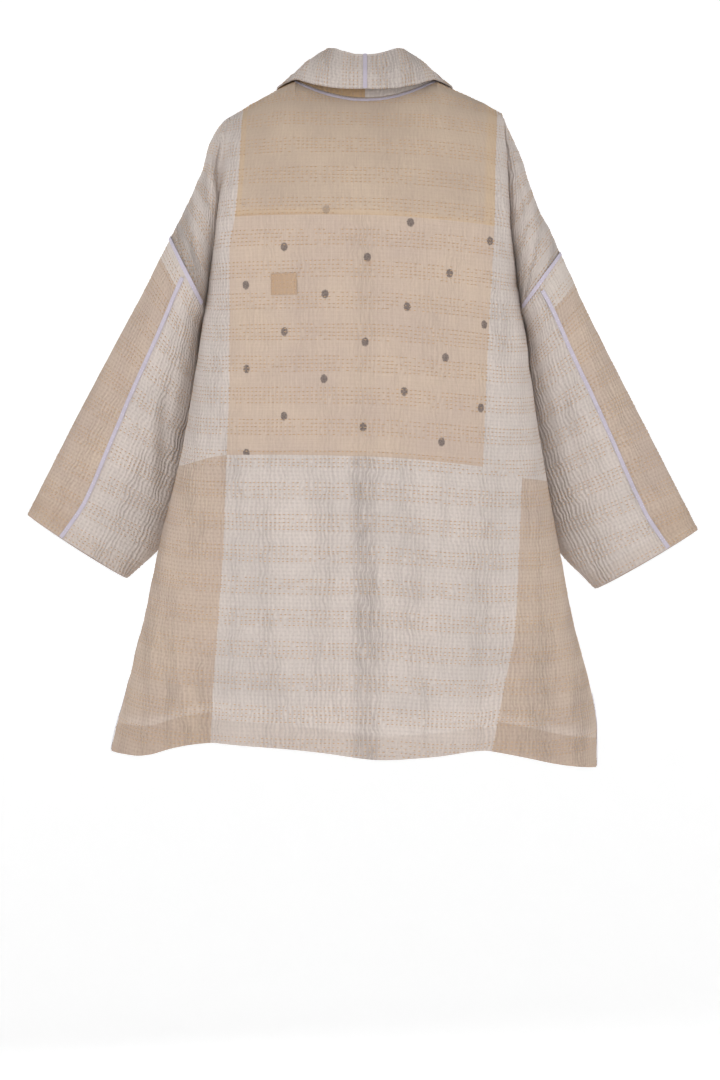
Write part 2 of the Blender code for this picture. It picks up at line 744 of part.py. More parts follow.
def collar_halves():
    """Both halves of the collar, each with its front band, and the middle line."""
    cloth = Cloth()
    for side in (1, -1):
        rows = [collar_row(*section) for section in collar_sections(side)]
        name = "collar_" + name_of(side)
        cloth.add_grid(rows, [0.0] * len(rows), lambda j, i: name, side > 0)
    cloth.join()
    for name in cloth.names:
        cloth.solid(name, COLLAR_WALL)
    return rows[0]


def tape(name, path, width=TAPE_WIDTH):
    """Flat tape along places of cloth; each place has its point, way out and rise."""
    mesh = bmesh.new()
    sections = []
    for k, (point, outward, rise) in enumerate(path):
        before = path[max(0, k - 1)][0]
        after = path[min(len(path) - 1, k + 1)][0]
        aside = outward.cross(after - before).normalized() * (width / 2)
        foot = point + outward * (rise + LAID_ON_GAP)
        top = foot + outward * TAPE_WALL
        places = (foot - aside, foot + aside, top + aside, top - aside)
        sections.append([mesh.verts.new(place) for place in places])
    for one, two in zip(sections, sections[1:]):
        for k in range(4):
            n = (k + 1) % 4
            mesh.faces.new((one[k], two[k], two[n], one[n]))
    mesh.faces.new(sections[0])
    mesh.faces.new(reversed(sections[-1]))
    bmesh.ops.recalc_face_normals(mesh, faces=mesh.faces[:])
    return finish(mesh, name)


def outward_from(point_at, a, b, face):
    """Place and way out on the back or front, whichever way the values run."""
    point, way = surface(point_at, a, b)
    return point, way if way.y * face > 0 else -way


def armhole_tape(side):
    """Tape over the armhole seam, across the back from the arm's top line."""
    path = []
    for angle in (4, 24, 46, 70, 94, 118, 138):
        turn = math.radians(angle)
        point, way = outward_from(
            lambda a, b: sleeve_point(side, 1, a, b), turn, 0.002, 1
        )
        path.append((point, way, 2 * QUILT_RISE))
    return tape("tape_armhole_" + name_of(side), path)


def sleeve_tape(side):
    """Tape down the lengthwise seam on the sleeve's back, from armhole to cuff."""
    path = []
    for row in range(SLEEVE_ROWS + 1):
        share = mix(SLEEVE_TAPE_START, 0.9985, row / SLEEVE_ROWS)
        point, way = outward_from(
            lambda a, b: sleeve_point(side, 1, a, b), seam_angle(side, share), share, 1
        )
        path.append((point, way, QUILT_RISE))
    return tape("tape_sleeve_" + name_of(side), path)


def neck_tape():
    """Tape just under the back neck seam, from one shoulder line to the other."""
    path = []
    for turn in range(-78, 79, 12):
        side = 1 if turn >= 0 else -1
        across = neck_share(side) * math.sin(math.radians(abs(turn)))
        point, way = outward_from(
            lambda a, b: torso_point(side, 1, a, b), max(0.001, across), NECK_TAPE_ROW, 1
        )
        path.append((point, way, QUILT_RISE))
    return tape("tape_neck", path)


def collar_tape(middle):
    """Tape over the centre-back seam of the fall, from the roll to its edge."""
    line = middle[STAND_STEPS + ROLL_STEPS // 2:]
    path = []
    for k, point in enumerate(line):
        along = line[min(len(line) - 1, k + 1)] - line[max(0, k - 1)]
        outward = along.cross(Vector((1, 0, 0))).normalized()
        outward = outward if outward.y + outward.z > 0 else -outward
        path.append((Vector((0, point.y, point.z)), outward, 0.0))
    return tape("tape_collar", path)


def vent_tape(side):
    """Narrow binding along the back edge of the side vent."""
    path = []
    edge = None
    for step in range(VENT_TOP_STEP, SKIRT_ROWS + 1):
        row = 3 + step / SKIRT_ROWS
        above = edge
        edge = torso_point(side, 1, 1.0, row)
        inner = torso_point(side, 1, back_columns(side, row)[-2], row)
        along = (inner - edge).normalized()
        down = edge - above if above else Vector((0, 0, -1))
        outward = along.cross(down).normalized()
        outward = outward if outward.y > 0 else -outward
        path.append((edge + along * VENT_TAPE_WIDTH * 0.6, outward, QUILT_RISE))
    return tape("tape_vent_" + name_of(side), path, VENT_TAPE_WIDTH)


def mend_patch():
    """Small darned square, laid on the dotted panel."""
    mesh = bmesh.new()
    rows = []
    for j in range(4):
        line = []
        for i in range(4):
            across = mix(*PATCH_ACROSS, i / 3)
            row = mix(*PATCH_ROWS, j / 3)
            point, way = outward_from(lambda a, b: torso_point(1, 1, a, b), across, row, 1)
            foot = point + way * (QUILT_RISE + LAID_ON_GAP)
            line.append((mesh.verts.new(foot), mesh.verts.new(foot + way * TAPE_WALL)))
        rows.append(line)
    for j in range(3):
        for i in range(3):
            cell = (rows[j][i], rows[j + 1][i], rows[j + 1][i + 1], rows[j][i + 1])
            mesh.faces.new([pair[0] for pair in cell])
            mesh.faces.new([pair[1] for pair in reversed(cell)])
    rim = [rows[0][i] for i in range(3)] + [rows[j][3] for j in range(3)]
    rim += [rows[3][i] for i in (3, 2, 1)] + [rows[j][0] for j in (3, 2, 1)]
    for one, two in zip(rim, rim[1:] + rim[:1]):
        mesh.faces.new((one[0], two[0], two[1], one[1]))
    bmesh.ops.recalc_face_normals(mesh, faces=mesh.faces[:])
    return finish(mesh, "mend_patch")


def body_and_sleeves():
    """The joined outer face of the coat, without its collar."""
    cloth = Cloth()
    rows, zones = zone_rows()
    underarm = YOKE_ROWS + CHEST_ROWS
    rises = [QUILT_RISE * (k % 2) for k in range(len(rows))]
    for side in (1, -1):
        for face in (1, -1):
            columns = back_columns if face > 0 else front_columns
            namer = back_piece if face > 0 else front_piece
            grid = [[torso_point(side, face, c, row) for c in columns(side, row)] for row in rows]
            cloth.add_grid(
                grid, rises, lambda j, i: namer(side, zones[j], i), side * face < 0
            )
            angles = range(ARM_COLUMNS + 1)
            drop = [[drop_point(side, face, k, row) for k in angles] for row in rows[:underarm + 1]]
            shoulder_piece = ("back_side_" if face > 0 else "front_upper_") + name_of(side)
            cloth.add_grid(drop, rises, lambda j, i: shoulder_piece, side * face > 0)
            shares = [k / SLEEVE_ROWS for k in range(SLEEVE_ROWS + 1)]
            sleeve = [
                [sleeve_point(side, face, column_angle(side, s, k), s) for k in angles] for s in shares
            ]
            cloth.add_grid(
                sleeve,
                rises[:SLEEVE_ROWS + 1],
                lambda j, i: ("sleeve_outer_" if i < TAPE_COLUMN else "sleeve_inner_") + name_of(side),
                side * face > 0,
            )
    cloth.join([torso_point(side, 1, 1.0, 2.0) for side in (1, -1)])
    return cloth


COLOURS = {
    "beige": (0.58, 0.45, 0.36),
    "cream": (0.64, 0.57, 0.53),
    "tan": (0.60, 0.45, 0.33),
    "tape": (0.70, 0.64, 0.74),
}
PIECE_COLOURS = {
    "back_yoke": "tan",
    "back_centre": "beige",
    "back_lower_left": "beige",
    "back_lower_right": "beige",
    "front_lower_left": "beige",
    "front_lower_right": "beige",
    "sleeve_outer_left": "beige",
    "sleeve_outer_right": "beige",
    "mend_patch": "tan",
}


def cloth_material(name):
    """Matt cotton in the piece's own colour."""
    colour = "tape" if name.startswith("tape") else PIECE_COLOURS.get(name, "cream")
    material = bpy.data.materials.new(name)
    material.use_nodes = True
    shader = material.node_tree.nodes["Principled BSDF"]
    shader.inputs["Base Color"].default_value = (*COLOURS[colour], 1.0)
    shader.inputs["Roughness"].default_value = 0.9
    shader.inputs["Metallic"].default_value = 0.0
    return material


def main():
    for item in list(bpy.data.objects):
        bpy.data.objects.remove(item)
    cloth = body_and_sleeves()
    for name in cloth.names:
        cloth.solid(name, WALL)
    collar_tape(collar_halves())
    neck_tape()
    mend_patch()
    for side in (1, -1):
        armhole_tape(side)
        sleeve_tape(side)
        vent_tape(side)


main()
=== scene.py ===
"""Quilted cotton kimono coat: the looks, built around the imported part.

Two thin layers of old cotton are quilted together by rows of small running
stitches, cut into patches, and sewn with pale tapes over the outer seams. Each
patch is a thin shell on the same form as its solid, much finer, with the soft
creases, the pucker of the quilting and every stitch of the stronger rows.
"""

import math
from collections import namedtuple

import bmesh
import bpy
import numpy as np
from bpy.props import FloatProperty, FloatVectorProperty, IntProperty, PointerProperty
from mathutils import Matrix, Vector, noise


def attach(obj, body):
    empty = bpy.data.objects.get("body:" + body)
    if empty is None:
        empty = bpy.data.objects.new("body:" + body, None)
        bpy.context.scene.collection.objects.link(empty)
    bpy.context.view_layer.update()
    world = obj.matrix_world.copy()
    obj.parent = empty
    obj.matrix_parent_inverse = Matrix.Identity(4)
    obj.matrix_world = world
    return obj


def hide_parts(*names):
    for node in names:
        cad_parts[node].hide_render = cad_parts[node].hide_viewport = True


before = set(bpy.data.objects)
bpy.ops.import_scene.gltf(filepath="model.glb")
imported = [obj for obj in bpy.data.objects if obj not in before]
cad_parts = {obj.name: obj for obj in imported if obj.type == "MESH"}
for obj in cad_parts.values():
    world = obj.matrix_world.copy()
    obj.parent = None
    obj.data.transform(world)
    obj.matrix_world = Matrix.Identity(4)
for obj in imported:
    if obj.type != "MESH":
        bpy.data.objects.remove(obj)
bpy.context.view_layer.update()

bl_info = {
    "name": "Quilted kimono coat",
    "version": (1, 0, 0),
    "blender": (4, 5, 0),
    "location": "View3D > Sidebar > Coat",
    "description": "Builds the quilted cotton, stitches and seam tapes of a kimono coat",
    "category": "Add Mesh",
}

# Cloth
WALL = 0.0016
COLLAR_WALL = 0.0020
SEAM_GAP = 0.0003
TAPE_WALL = 0.0007

# Neck and front edge
NECK_HALF_WIDTH = 0.098
NECK_BACK_DEPTH = 0.055
NECK_BACK_HEIGHT = -0.029
NECK_POINT_HEIGHT = 0.003
NECK_FRONT_DEPTH = 0.092
NECK_FRONT_HEIGHT = -0.105
NECK_BACK_SLOPE = math.radians(32)

# Heights of the construction rows
UNDERARM_HEIGHT = -0.320
VENT_TOP_HEIGHT = -0.850
VENT_HEM_HEIGHT = -0.950
VENT_HALF_SPREAD = 0.005

# Rows in each height zone and columns across each panel, before they are refined
YOKE_ROWS = 12
CHEST_ROWS = 8
WAIST_ROWS = 12
SKIRT_ROWS = 20
SLEEVE_ROWS = 24
NECK_COLUMNS = 8
SHOULDER_COLUMNS = 6
PANEL_COLUMNS = NECK_COLUMNS + SHOULDER_COLUMNS
STRIP_COLUMNS = 9
TONGUE_COLUMNS = 3
EDGE_COLUMNS = STRIP_COLUMNS - TONGUE_COLUMNS
ARM_COLUMNS = 10
TAPE_COLUMN = 5
REFINE = 4

# Collar section
COLLAR_ROLL = 0.0034
FALL_BOW = 0.004
STAND_STEPS = 3
ROLL_STEPS = 6
FALL_STEPS = 6

# Roundness of the body rings, 2 is an ellipse and more is squarer
BACK_ROUNDNESS = 2.25
FRONT_ROUNDNESS = 2.05

Ring = namedtuple("Ring", "z half_left half_right back front")
BODY_RINGS = (
    Ring(-0.205, 0.2050, 0.2000, 0.116, 0.118),
    Ring(-0.260, 0.2140, 0.2085, 0.120, 0.124),
    Ring(-0.320, 0.2220, 0.2150, 0.123, 0.130),
    Ring(-0.400, 0.2365, 0.2300, 0.126, 0.134),
    Ring(-0.512, 0.2560, 0.2470, 0.130, 0.139),
    Ring(-0.641, 0.2865, 0.2700, 0.138, 0.144),
    Ring(-0.750, 0.3090, 0.2910, 0.147, 0.148),
    Ring(-0.862, 0.3370, 0.3190, 0.156, 0.152),
    Ring(-0.900, 0.3480, 0.3240, 0.159, 0.154),
    Ring(-0.953, 0.3590, 0.3235, 0.163, 0.156),
)

# Seams and hem of the back, height by distance from the centre, left positive
SeamPoint = namedtuple("SeamPoint", "x yoke waist")
BACK_SEAMS = (
    SeamPoint(-0.250, -0.215, -0.5560),
    SeamPoint(-0.214, -0.213, -0.5530),
    SeamPoint(-0.161, -0.208, -0.5390),
    SeamPoint(0.015, -0.198, -0.5250),
    SeamPoint(0.189, -0.197, -0.5224),
    SeamPoint(0.250, -0.199, -0.5345),
)
HemPoint = namedtuple("HemPoint", "x back")
BACK_HEM = (
    HemPoint(-0.324, -0.953),
    HemPoint(-0.265, -0.943),
    HemPoint(-0.219, -0.932),
    HemPoint(-0.153, -0.922),
    HemPoint(-0.089, -0.928),
    HemPoint(-0.025, -0.931),
    HemPoint(0.060, -0.922),
    HemPoint(0.146, -0.915),
    HemPoint(0.212, -0.912),
    HemPoint(0.258, -0.919),
    HemPoint(0.310, -0.932),
    HemPoint(0.356, -0.930),
)
FRONT_YOKE_HEIGHT = -0.200
FRONT_WAIST_HEIGHT = -0.530
FRONT_HEM_HEIGHT = -0.924

# Edges of the middle back panels, distance from the centre by height
PanelEdge = namedtuple("PanelEdge", "z left right_upper right_lower")
PANEL_EDGES = (
    PanelEdge(-0.040, 0.1690, 0.1840, 0.2140),
    PanelEdge(-0.120, 0.1720, 0.1790, 0.2140),
    PanelEdge(-0.200, 0.1780, 0.1770, 0.2140),
    PanelEdge(-0.240, 0.1845, 0.1750, 0.2140),
    PanelEdge(-0.440, 0.1860, 0.1640, 0.2140),
    PanelEdge(-0.550, 0.1895, 0.1600, 0.2140),
    PanelEdge(-0.640, 0.1920, 0.1600, 0.2100),
    PanelEdge(-0.760, 0.2000, 0.1600, 0.2030),
    PanelEdge(-0.830, 0.2050, 0.1600, 0.1890),
    PanelEdge(-0.930, 0.2100, 0.1600, 0.1700),
)
EDGE_LIMIT = 0.95
RIGHT_EDGE_LIMIT = 0.955
PANEL_SHARE = 0.93

# Shoulder line from the neck out and on over the upper arm
ShoulderPoint = namedtuple("ShoulderPoint", "x z")
SHOULDER_LEFT = (
    ShoulderPoint(0.098, 0.003),
    ShoulderPoint(0.119, -0.008),
    ShoulderPoint(0.150, -0.025),
    ShoulderPoint(0.182, -0.043),
)
SHOULDER_RIGHT = (
    ShoulderPoint(0.098, 0.003),
    ShoulderPoint(0.140, -0.016),
    ShoulderPoint(0.179, -0.034),
    ShoulderPoint(0.190, -0.041),
)
ArmTopPoint = namedtuple("ArmTopPoint", "z x")
ARM_TOP_LEFT = (
    ArmTopPoint(-0.043, 0.182),
    ArmTopPoint(-0.050, 0.195),
    ArmTopPoint(-0.064, 0.207),
    ArmTopPoint(-0.092, 0.220),
    ArmTopPoint(-0.120, 0.228),
    ArmTopPoint(-0.148, 0.238),
    ArmTopPoint(-0.176, 0.251),
    ArmTopPoint(-0.216, 0.272),
)
ARM_TOP_RIGHT = (
    ArmTopPoint(-0.041, 0.190),
    ArmTopPoint(-0.064, 0.200),
    ArmTopPoint(-0.092, 0.214),
    ArmTopPoint(-0.120, 0.224),
    ArmTopPoint(-0.148, 0.234),
    ArmTopPoint(-0.176, 0.244),
    ArmTopPoint(-0.204, 0.258),
    ArmTopPoint(-0.238, 0.273),
)

# Dropped shoulder by row: how far down the arm top each row ends, the half
# depth of the arm's section, and the angle at which it meets the body's fold
Drop = namedtuple("Drop", "row top_share back_depth front_depth fold_left fold_right")
DROPPED_SHOULDER = (
    Drop(0.0, 0.00, 0.030, 0.028, 85, 92),
    Drop(0.5, 0.24, 0.046, 0.042, 100, 112),
    Drop(1.0, 0.60, 0.062, 0.056, 124, 136),
    Drop(1.5, 0.81, 0.067, 0.062, 150, 157),
    Drop(2.0, 1.00, 0.068, 0.064, 180, 180),
)

# Sleeve by share of its length: the inner line, the half depth, how far the
# sleeve swings to the front, and how far across its back the taped seam lies
Sleeve = namedtuple("Sleeve", "share inner_x inner_z half_depth swing seam_angle")
SLEEVE_LEFT = (
    Sleeve(0.00, 0.2220, -0.320, 0.068, 0.000, 92),
    Sleeve(0.06, 0.2290, -0.342, 0.067, 0.011, 89),
    Sleeve(0.12, 0.2315, -0.364, 0.066, 0.022, 86),
    Sleeve(0.25, 0.2340, -0.412, 0.062, 0.037, 80),
    Sleeve(0.50, 0.2480, -0.502, 0.053, 0.047, 75),
    Sleeve(0.75, 0.2660, -0.592, 0.044, 0.047, 74),
    Sleeve(0.87, 0.2840, -0.640, 0.040, 0.045, 74),
    Sleeve(1.00, 0.3370, -0.692, 0.035, 0.043, 74),
)
SLEEVE_RIGHT = (
    Sleeve(0.00, 0.2150, -0.320, 0.068, 0.000, 102),
    Sleeve(0.06, 0.2225, -0.343, 0.067, 0.011, 96),
    Sleeve(0.12, 0.2255, -0.366, 0.066, 0.022, 90),
    Sleeve(0.25, 0.2270, -0.415, 0.062, 0.037, 81),
    Sleeve(0.50, 0.2395, -0.505, 0.053, 0.047, 72),
    Sleeve(0.75, 0.2555, -0.598, 0.044, 0.047, 69),
    Sleeve(0.87, 0.2690, -0.644, 0.040, 0.045, 68),
    Sleeve(1.00, 0.3260, -0.707, 0.035, 0.043, 68),
)
CUFF_OUTER = {1: (0.4785, -0.602), -1: (0.4720, -0.623)}
SLEEVE_BOW = {1: 0.005, -1: 0.0015}
CUFF_FRONT_DROP = 0.007

# Soft lengthwise folds: where, how wide, how deep, and the rows they span
Fold = namedtuple("Fold", "x width depth top bottom")
BACK_FOLDS = (
    Fold(0.215, 0.030, -0.016, -0.560, -0.930),
    Fold(-0.165, 0.030, -0.018, -0.600, -0.930),
    Fold(-0.020, 0.060, 0.008, -0.560, -0.930),
    Fold(0.095, 0.030, -0.005, -0.640, -0.930),
)
FRONT_FOLDS = (
    Fold(0.190, 0.035, -0.014, -0.450, -0.920),
    Fold(-0.200, 0.035, -0.015, -0.480, -0.920),
)
SleeveFold = namedtuple("SleeveFold", "angle width depth start end")
SLEEVE_FOLDS = {
    1: (
        SleeveFold(146, 16, 0.006, 0.02, 0.88),
        SleeveFold(48, 20, 0.003, 0.10, 0.95),
    ),
    -1: (
        SleeveFold(138, 18, 0.004, 0.05, 0.80),
        SleeveFold(40, 18, 0.003, 0.25, 1.00),
    ),
}

# Collar by station from centre back to the front hem. The seam follows the
# neck and front edge; the roll and the edge of the fall are given here behind
# the shoulder line, and in front as places on the coat's own front
Collar = namedtuple("Collar", "turn roll_x roll_y roll_z edge_x edge_y edge_z")
COLLAR_BACK = (
    Collar(0.0, 0.000, 0.0480, 0.0320, 0.000, 0.0800, -0.0205),
    Collar(7.0, 0.009, 0.0475, 0.0325, 0.012, 0.0796, -0.0204),
    Collar(22.5, 0.027, 0.0430, 0.0375, 0.038, 0.0740, -0.0185),
    Collar(45.0, 0.044, 0.0270, 0.0450, 0.074, 0.0560, -0.0090),
    Collar(67.5, 0.053, 0.0050, 0.0470, 0.101, 0.0270, 0.0020),
    Collar(90.0, 0.057, -0.0200, 0.0390, 0.117, -0.0060, 0.0020),
)
FrontBand = namedtuple("FrontBand", "z seam_x roll_x edge_x lift lean_x lean_y lean_z")
COLLAR_FRONT = (
    FrontBand(0.003, NECK_HALF_WIDTH, 0.0570, 0.1170, 0.009, -0.041, -0.020, 0.036),
    FrontBand(-0.025, 0.0925, 0.0550, 0.1230, 0.009, -0.040, -0.022, 0.024),
    FrontBand(-0.060, 0.0860, 0.0520, 0.1270, 0.009, -0.037, -0.022, 0.013),
    FrontBand(-0.110, 0.0760, 0.0450, 0.1230, 0.008, -0.033, -0.016, 0.004),
    FrontBand(-0.160, 0.0660, 0.0370, 0.1140, 0.008, -0.030, -0.010, 0.000),
    FrontBand(-0.210, 0.0560, 0.0290, 0.1030, 0.007, -0.027, -0.007, 0.000),
    FrontBand(-0.270, 0.0490, 0.0220, 0.0930, 0.006, -0.027, -0.006, 0.000),
    FrontBand(-0.350, 0.0460, 0.0180, 0.0840, 0.006, -0.028, -0.006, 0.000),
    FrontBand(-0.450, 0.0460, 0.0160, 0.0780, 0.006, -0.030, -0.006, 0.000),
    FrontBand(-0.570, 0.0470, 0.0160, 0.0760, 0.006, -0.031, -0.006, 0.000),
    FrontBand(-0.690, 0.0490, 0.0170, 0.0780, 0.006, -0.032, -0.006, 0.000),
    FrontBand(-0.810, 0.0520, 0.0190, 0.0820, 0.006, -0.033, -0.006, 0.000),
    FrontBand(-0.918, 0.0550, 0.0210, 0.0860, 0.006, -0.034, -0.006, 0.000),
)


def read(table, column, key, at):
    """Value of one column of a table, on a smooth curve with no overshoot."""
    rows = sorted(table, key=lambda row: getattr(row, key))
    xs = [getattr(row, key) for row in rows]
    ys = [getattr(row, column) for row in rows]
    if at <= xs[0]:
        return ys[0]
    if at >= xs[-1]:
        return ys[-1]
    i = max(k for k in range(len(xs) - 1) if xs[k] <= at)
    slopes = [(ys[k + 1] - ys[k]) / (xs[k + 1] - xs[k]) for k in range(len(xs) - 1)]

    def tangent(k):
        if k in (0, len(xs) - 1):
            return slopes[min(k, len(slopes) - 1)]
        before, after = slopes[k - 1], slopes[k]
        if before * after <= 0:
            return 0.0
        return 2 * before * after / (before + after)

    step = xs[i + 1] - xs[i]
    t = (at - xs[i]) / step
    start = (1 + 2 * t) * (1 - t) ** 2 * ys[i] + t * (1 - t) ** 2 * step * tangent(i)
    return start + t * t * (3 - 2 * t) * ys[i + 1] - t * t * (1 - t) * step * tangent(i + 1)


def mix(start, end, share):
    return start + (end - start) * share


def ramp(value, start, end):
    """Smooth rise from 0 at start to 1 at end."""
    share = min(1.0, max(0.0, (value - start) / (end - start)))
    return share * share * (3 - 2 * share)


def name_of(side):
    return "left" if side > 0 else "right"


def half_width(side, z):
    return read(BODY_RINGS, "half_left" if side > 0 else "half_right", "z", z)


def body_depth(face, z):
    return read(BODY_RINGS, "back" if face > 0 else "front", "z", z)


def shoulder(side):
    return SHOULDER_LEFT if side > 0 else SHOULDER_RIGHT


def arm_top(side):
    return ARM_TOP_LEFT if side > 0 else ARM_TOP_RIGHT


def section_drop(side, face, row):
    """Half depth of the arm section and the angle where it meets the body."""
    depth = read(DROPPED_SHOULDER, "back_depth" if face > 0 else "front_depth", "row", row)
    fold = read(DROPPED_SHOULDER, "fold_left" if side > 0 else "fold_right", "row", row)
    return depth, math.radians(fold)


def between_rows(row, yoke, waist, hem):
    """Height of a construction row from those of the yoke, waist and hem."""
    if row <= 2:
        return mix(yoke, UNDERARM_HEIGHT, row - 1)
    if row <= 3:
        return mix(UNDERARM_HEIGHT, waist, row - 2)
    return mix(waist, hem, row - 3)


def back_height(side, row, across):
    """Height on the back, where the seams and the hem rise and dip."""
    height = between_rows(row, -0.2, -0.54, -0.93)
    for _ in range(3):
        x = side * half_width(side, height) * across
        yoke = read(BACK_SEAMS, "yoke", "x", x)
        waist = read(BACK_SEAMS, "waist", "x", x)
        hem = read(BACK_HEM, "back", "x", x)
        height = between_rows(row, yoke, waist, hem)
    return height


def front_height(side, row, across):
    """Height on the front, level in the middle and joined to the back's sides."""
    level = between_rows(row, FRONT_YOKE_HEIGHT, FRONT_WAIST_HEIGHT, FRONT_HEM_HEIGHT)
    return mix(level, back_height(side, row, 1.0), across**3)


def fold_depth(face, side, x, z):
    """Ridge or trough of the soft lengthwise folds at a place."""
    total = 0.0
    for fold in BACK_FOLDS if face > 0 else FRONT_FOLDS:
        across = math.exp(-((side * x - fold.x) / fold.width) ** 2)
        total += fold.depth * across * ramp(z, fold.top, fold.bottom)
    return total


def vent_spread(z):
    """How far each edge of a side vent stands off the side line."""
    share = (VENT_TOP_HEIGHT - z) / (VENT_TOP_HEIGHT - VENT_HEM_HEIGHT)
    return VENT_HALF_SPREAD * min(1.0, max(0.0, share)) ** 0.6


def ring_point(side, face, across, row):
    """Body below the yoke row; across runs from 0 at the centre to 1 at the side."""
    height = (back_height if face > 0 else front_height)(side, row, across)
    x = half_width(side, height) * across
    depth, fold = section_drop(side, face, min(row, 2.0))
    side_depth = depth * math.sin(fold) if row < 2 else 0.0
    roundness = BACK_ROUNDNESS if face > 0 else FRONT_ROUNDNESS
    middle = body_depth(face, height)
    profile = max(0.0, 1 - across**roundness) ** (1 / roundness)
    y = side_depth + (middle - side_depth) * profile
    y += fold_depth(face, side, x, height) * min(1.0, 3 * profile)
    if row > 3:
        y += vent_spread(height) * across**12
    return Vector((side * x, face * y, height))


def neck_share(side):
    """How far across the top of the body the neck reaches."""
    return NECK_HALF_WIDTH / shoulder(side)[-1].x


def top_point(side, face, across):
    """Neckline, then the shoulder line out to the shoulder point."""
    x = shoulder(side)[-1].x * across
    if across >= neck_share(side):
        return Vector((side * x, 0.0, read(shoulder(side), "z", "x", x)))
    sine = across / neck_share(side)
    cosine = math.sqrt(max(0.0, 1 - sine * sine))
    if face > 0:
        z = mix(NECK_BACK_HEIGHT, NECK_POINT_HEIGHT, sine * sine)
        return Vector((side * x, NECK_BACK_DEPTH * cosine, z))
    z = mix(NECK_FRONT_HEIGHT, NECK_POINT_HEIGHT, sine * sine)
    return Vector((side * x, -NECK_FRONT_DEPTH * cosine, z))


def torso_point(side, face, across, row):
    """Body from the shoulder line (row 0) to the hem (row 4)."""
    if row >= 1:
        return ring_point(side, face, across, row)
    top = top_point(side, face, across)
    ring = ring_point(side, face, across, 1.0)
    start = 0.0
    if across < neck_share(side):
        start = NECK_BACK_SLOPE * math.sqrt(1 - (across / neck_share(side)) ** 2)
    angle = mix(start, math.pi / 2, row)
    outward = (math.sin(angle) - math.sin(start)) / (1 - math.sin(start))
    downward = (math.cos(start) - math.cos(angle)) / math.cos(start)
    return Vector((
        mix(top.x, ring.x, row),
        mix(top.y, ring.y, outward),
        mix(top.z, ring.z, downward),
    ))


def arm_section(outer, meet, meet_angle, depth, angle):
    """Point of a half-round arm section between its outer and inner lines."""
    share = (1 - math.cos(angle)) / (1 - math.cos(meet_angle))
    x = mix(outer[0], meet[0], share)
    z = mix(outer[1], meet[1], share)
    return x, depth * math.sin(angle), z


def seam_angle(side, share):
    table = SLEEVE_LEFT if side > 0 else SLEEVE_RIGHT
    return math.radians(read(table, "seam_angle", "share", share))


def column_angle(side, share, column):
    """Angle of a lengthwise column, with one column on the taped seam."""
    seam = seam_angle(side, share)
    if column <= TAPE_COLUMN:
        return seam * column / TAPE_COLUMN
    return mix(seam, math.pi, (column - TAPE_COLUMN) / (ARM_COLUMNS - TAPE_COLUMN))


def drop_point(side, face, column, row):
    """Dropped shoulder, from the arm's top line to the fold beside the body."""
    depth, fold = section_drop(side, face, row)
    valley = torso_point(side, face, 1.0, row)
    if row < 1:
        depth = abs(valley.y) / math.sin(fold)
    share = read(DROPPED_SHOULDER, "top_share", "row", row)
    table = arm_top(side)
    top_z = mix(table[0].z, table[-1].z, share)
    outer = (read(table, "x", "z", top_z), top_z)
    angle = column_angle(side, 0.0, column) * fold / math.pi
    x, y, z = arm_section(outer, (abs(valley.x), valley.z), fold, depth, angle)
    return Vector((side * x, face * y, z))


def sleeve_point(side, face, angle, share):
    """Sleeve from the armhole (share 0) to the cuff (share 1)."""
    table = SLEEVE_LEFT if side > 0 else SLEEVE_RIGHT
    start = arm_top(side)[-1]
    cuff_x, cuff_z = CUFF_OUTER[side]
    bow = SLEEVE_BOW[side] * math.sin(math.pi * share)
    outer = (mix(start.x, cuff_x, share) + bow, mix(start.z, cuff_z, share))
    inner = (read(table, "inner_x", "share", share), read(table, "inner_z", "share", share))
    armhole_depth = section_drop(side, face, 2.0)[0]
    depth = read(table, "half_depth", "share", share)
    depth = mix(armhole_depth, depth, ramp(share, 0.0, 0.2))
    for fold in SLEEVE_FOLDS[side]:
        across = math.exp(-((math.degrees(angle) - fold.angle) / fold.width) ** 2)
        along = math.sin(math.pi * min(1.0, max(0.0, (share - fold.start) / (fold.end - fold.start))))
        depth -= fold.depth * across * along
    x, y, z = arm_section(outer, inner, math.pi, depth, angle)
    swing = read(table, "swing", "share", share)
    if face < 0:
        z -= CUFF_FRONT_DROP * math.sin(angle) * share**2
    return Vector((side * x, face * y - swing, z))


def across_at(side, face, row, table, column, limit):
    """How far across a row lies the place whose distance a table gives by height."""
    across = 0.5
    for _ in range(10):
        point = torso_point(side, face, across, row)
        across *= read(table, column, "z", point.z) / abs(point.x)
        across = min(limit, across)
    return across


def spread(start, end, count):
    return [mix(start, end, k / count) for k in range(count)]


def closing(start, count):
    """Places from a panel's edge to the side, closer together where the body turns."""
    return [1 - (1 - start) * (1 - k / count) ** 2 for k in range(count)]


def middle_columns(side, edge):
    """Places across a middle panel: closer by the neck point, then to its edge."""
    neck = neck_share(side) * edge / PANEL_SHARE
    turns = [math.pi / 2 * k / NECK_COLUMNS for k in range(NECK_COLUMNS)]
    return [neck * math.sin(turn) for turn in turns] + spread(neck, edge, SHOULDER_COLUMNS)


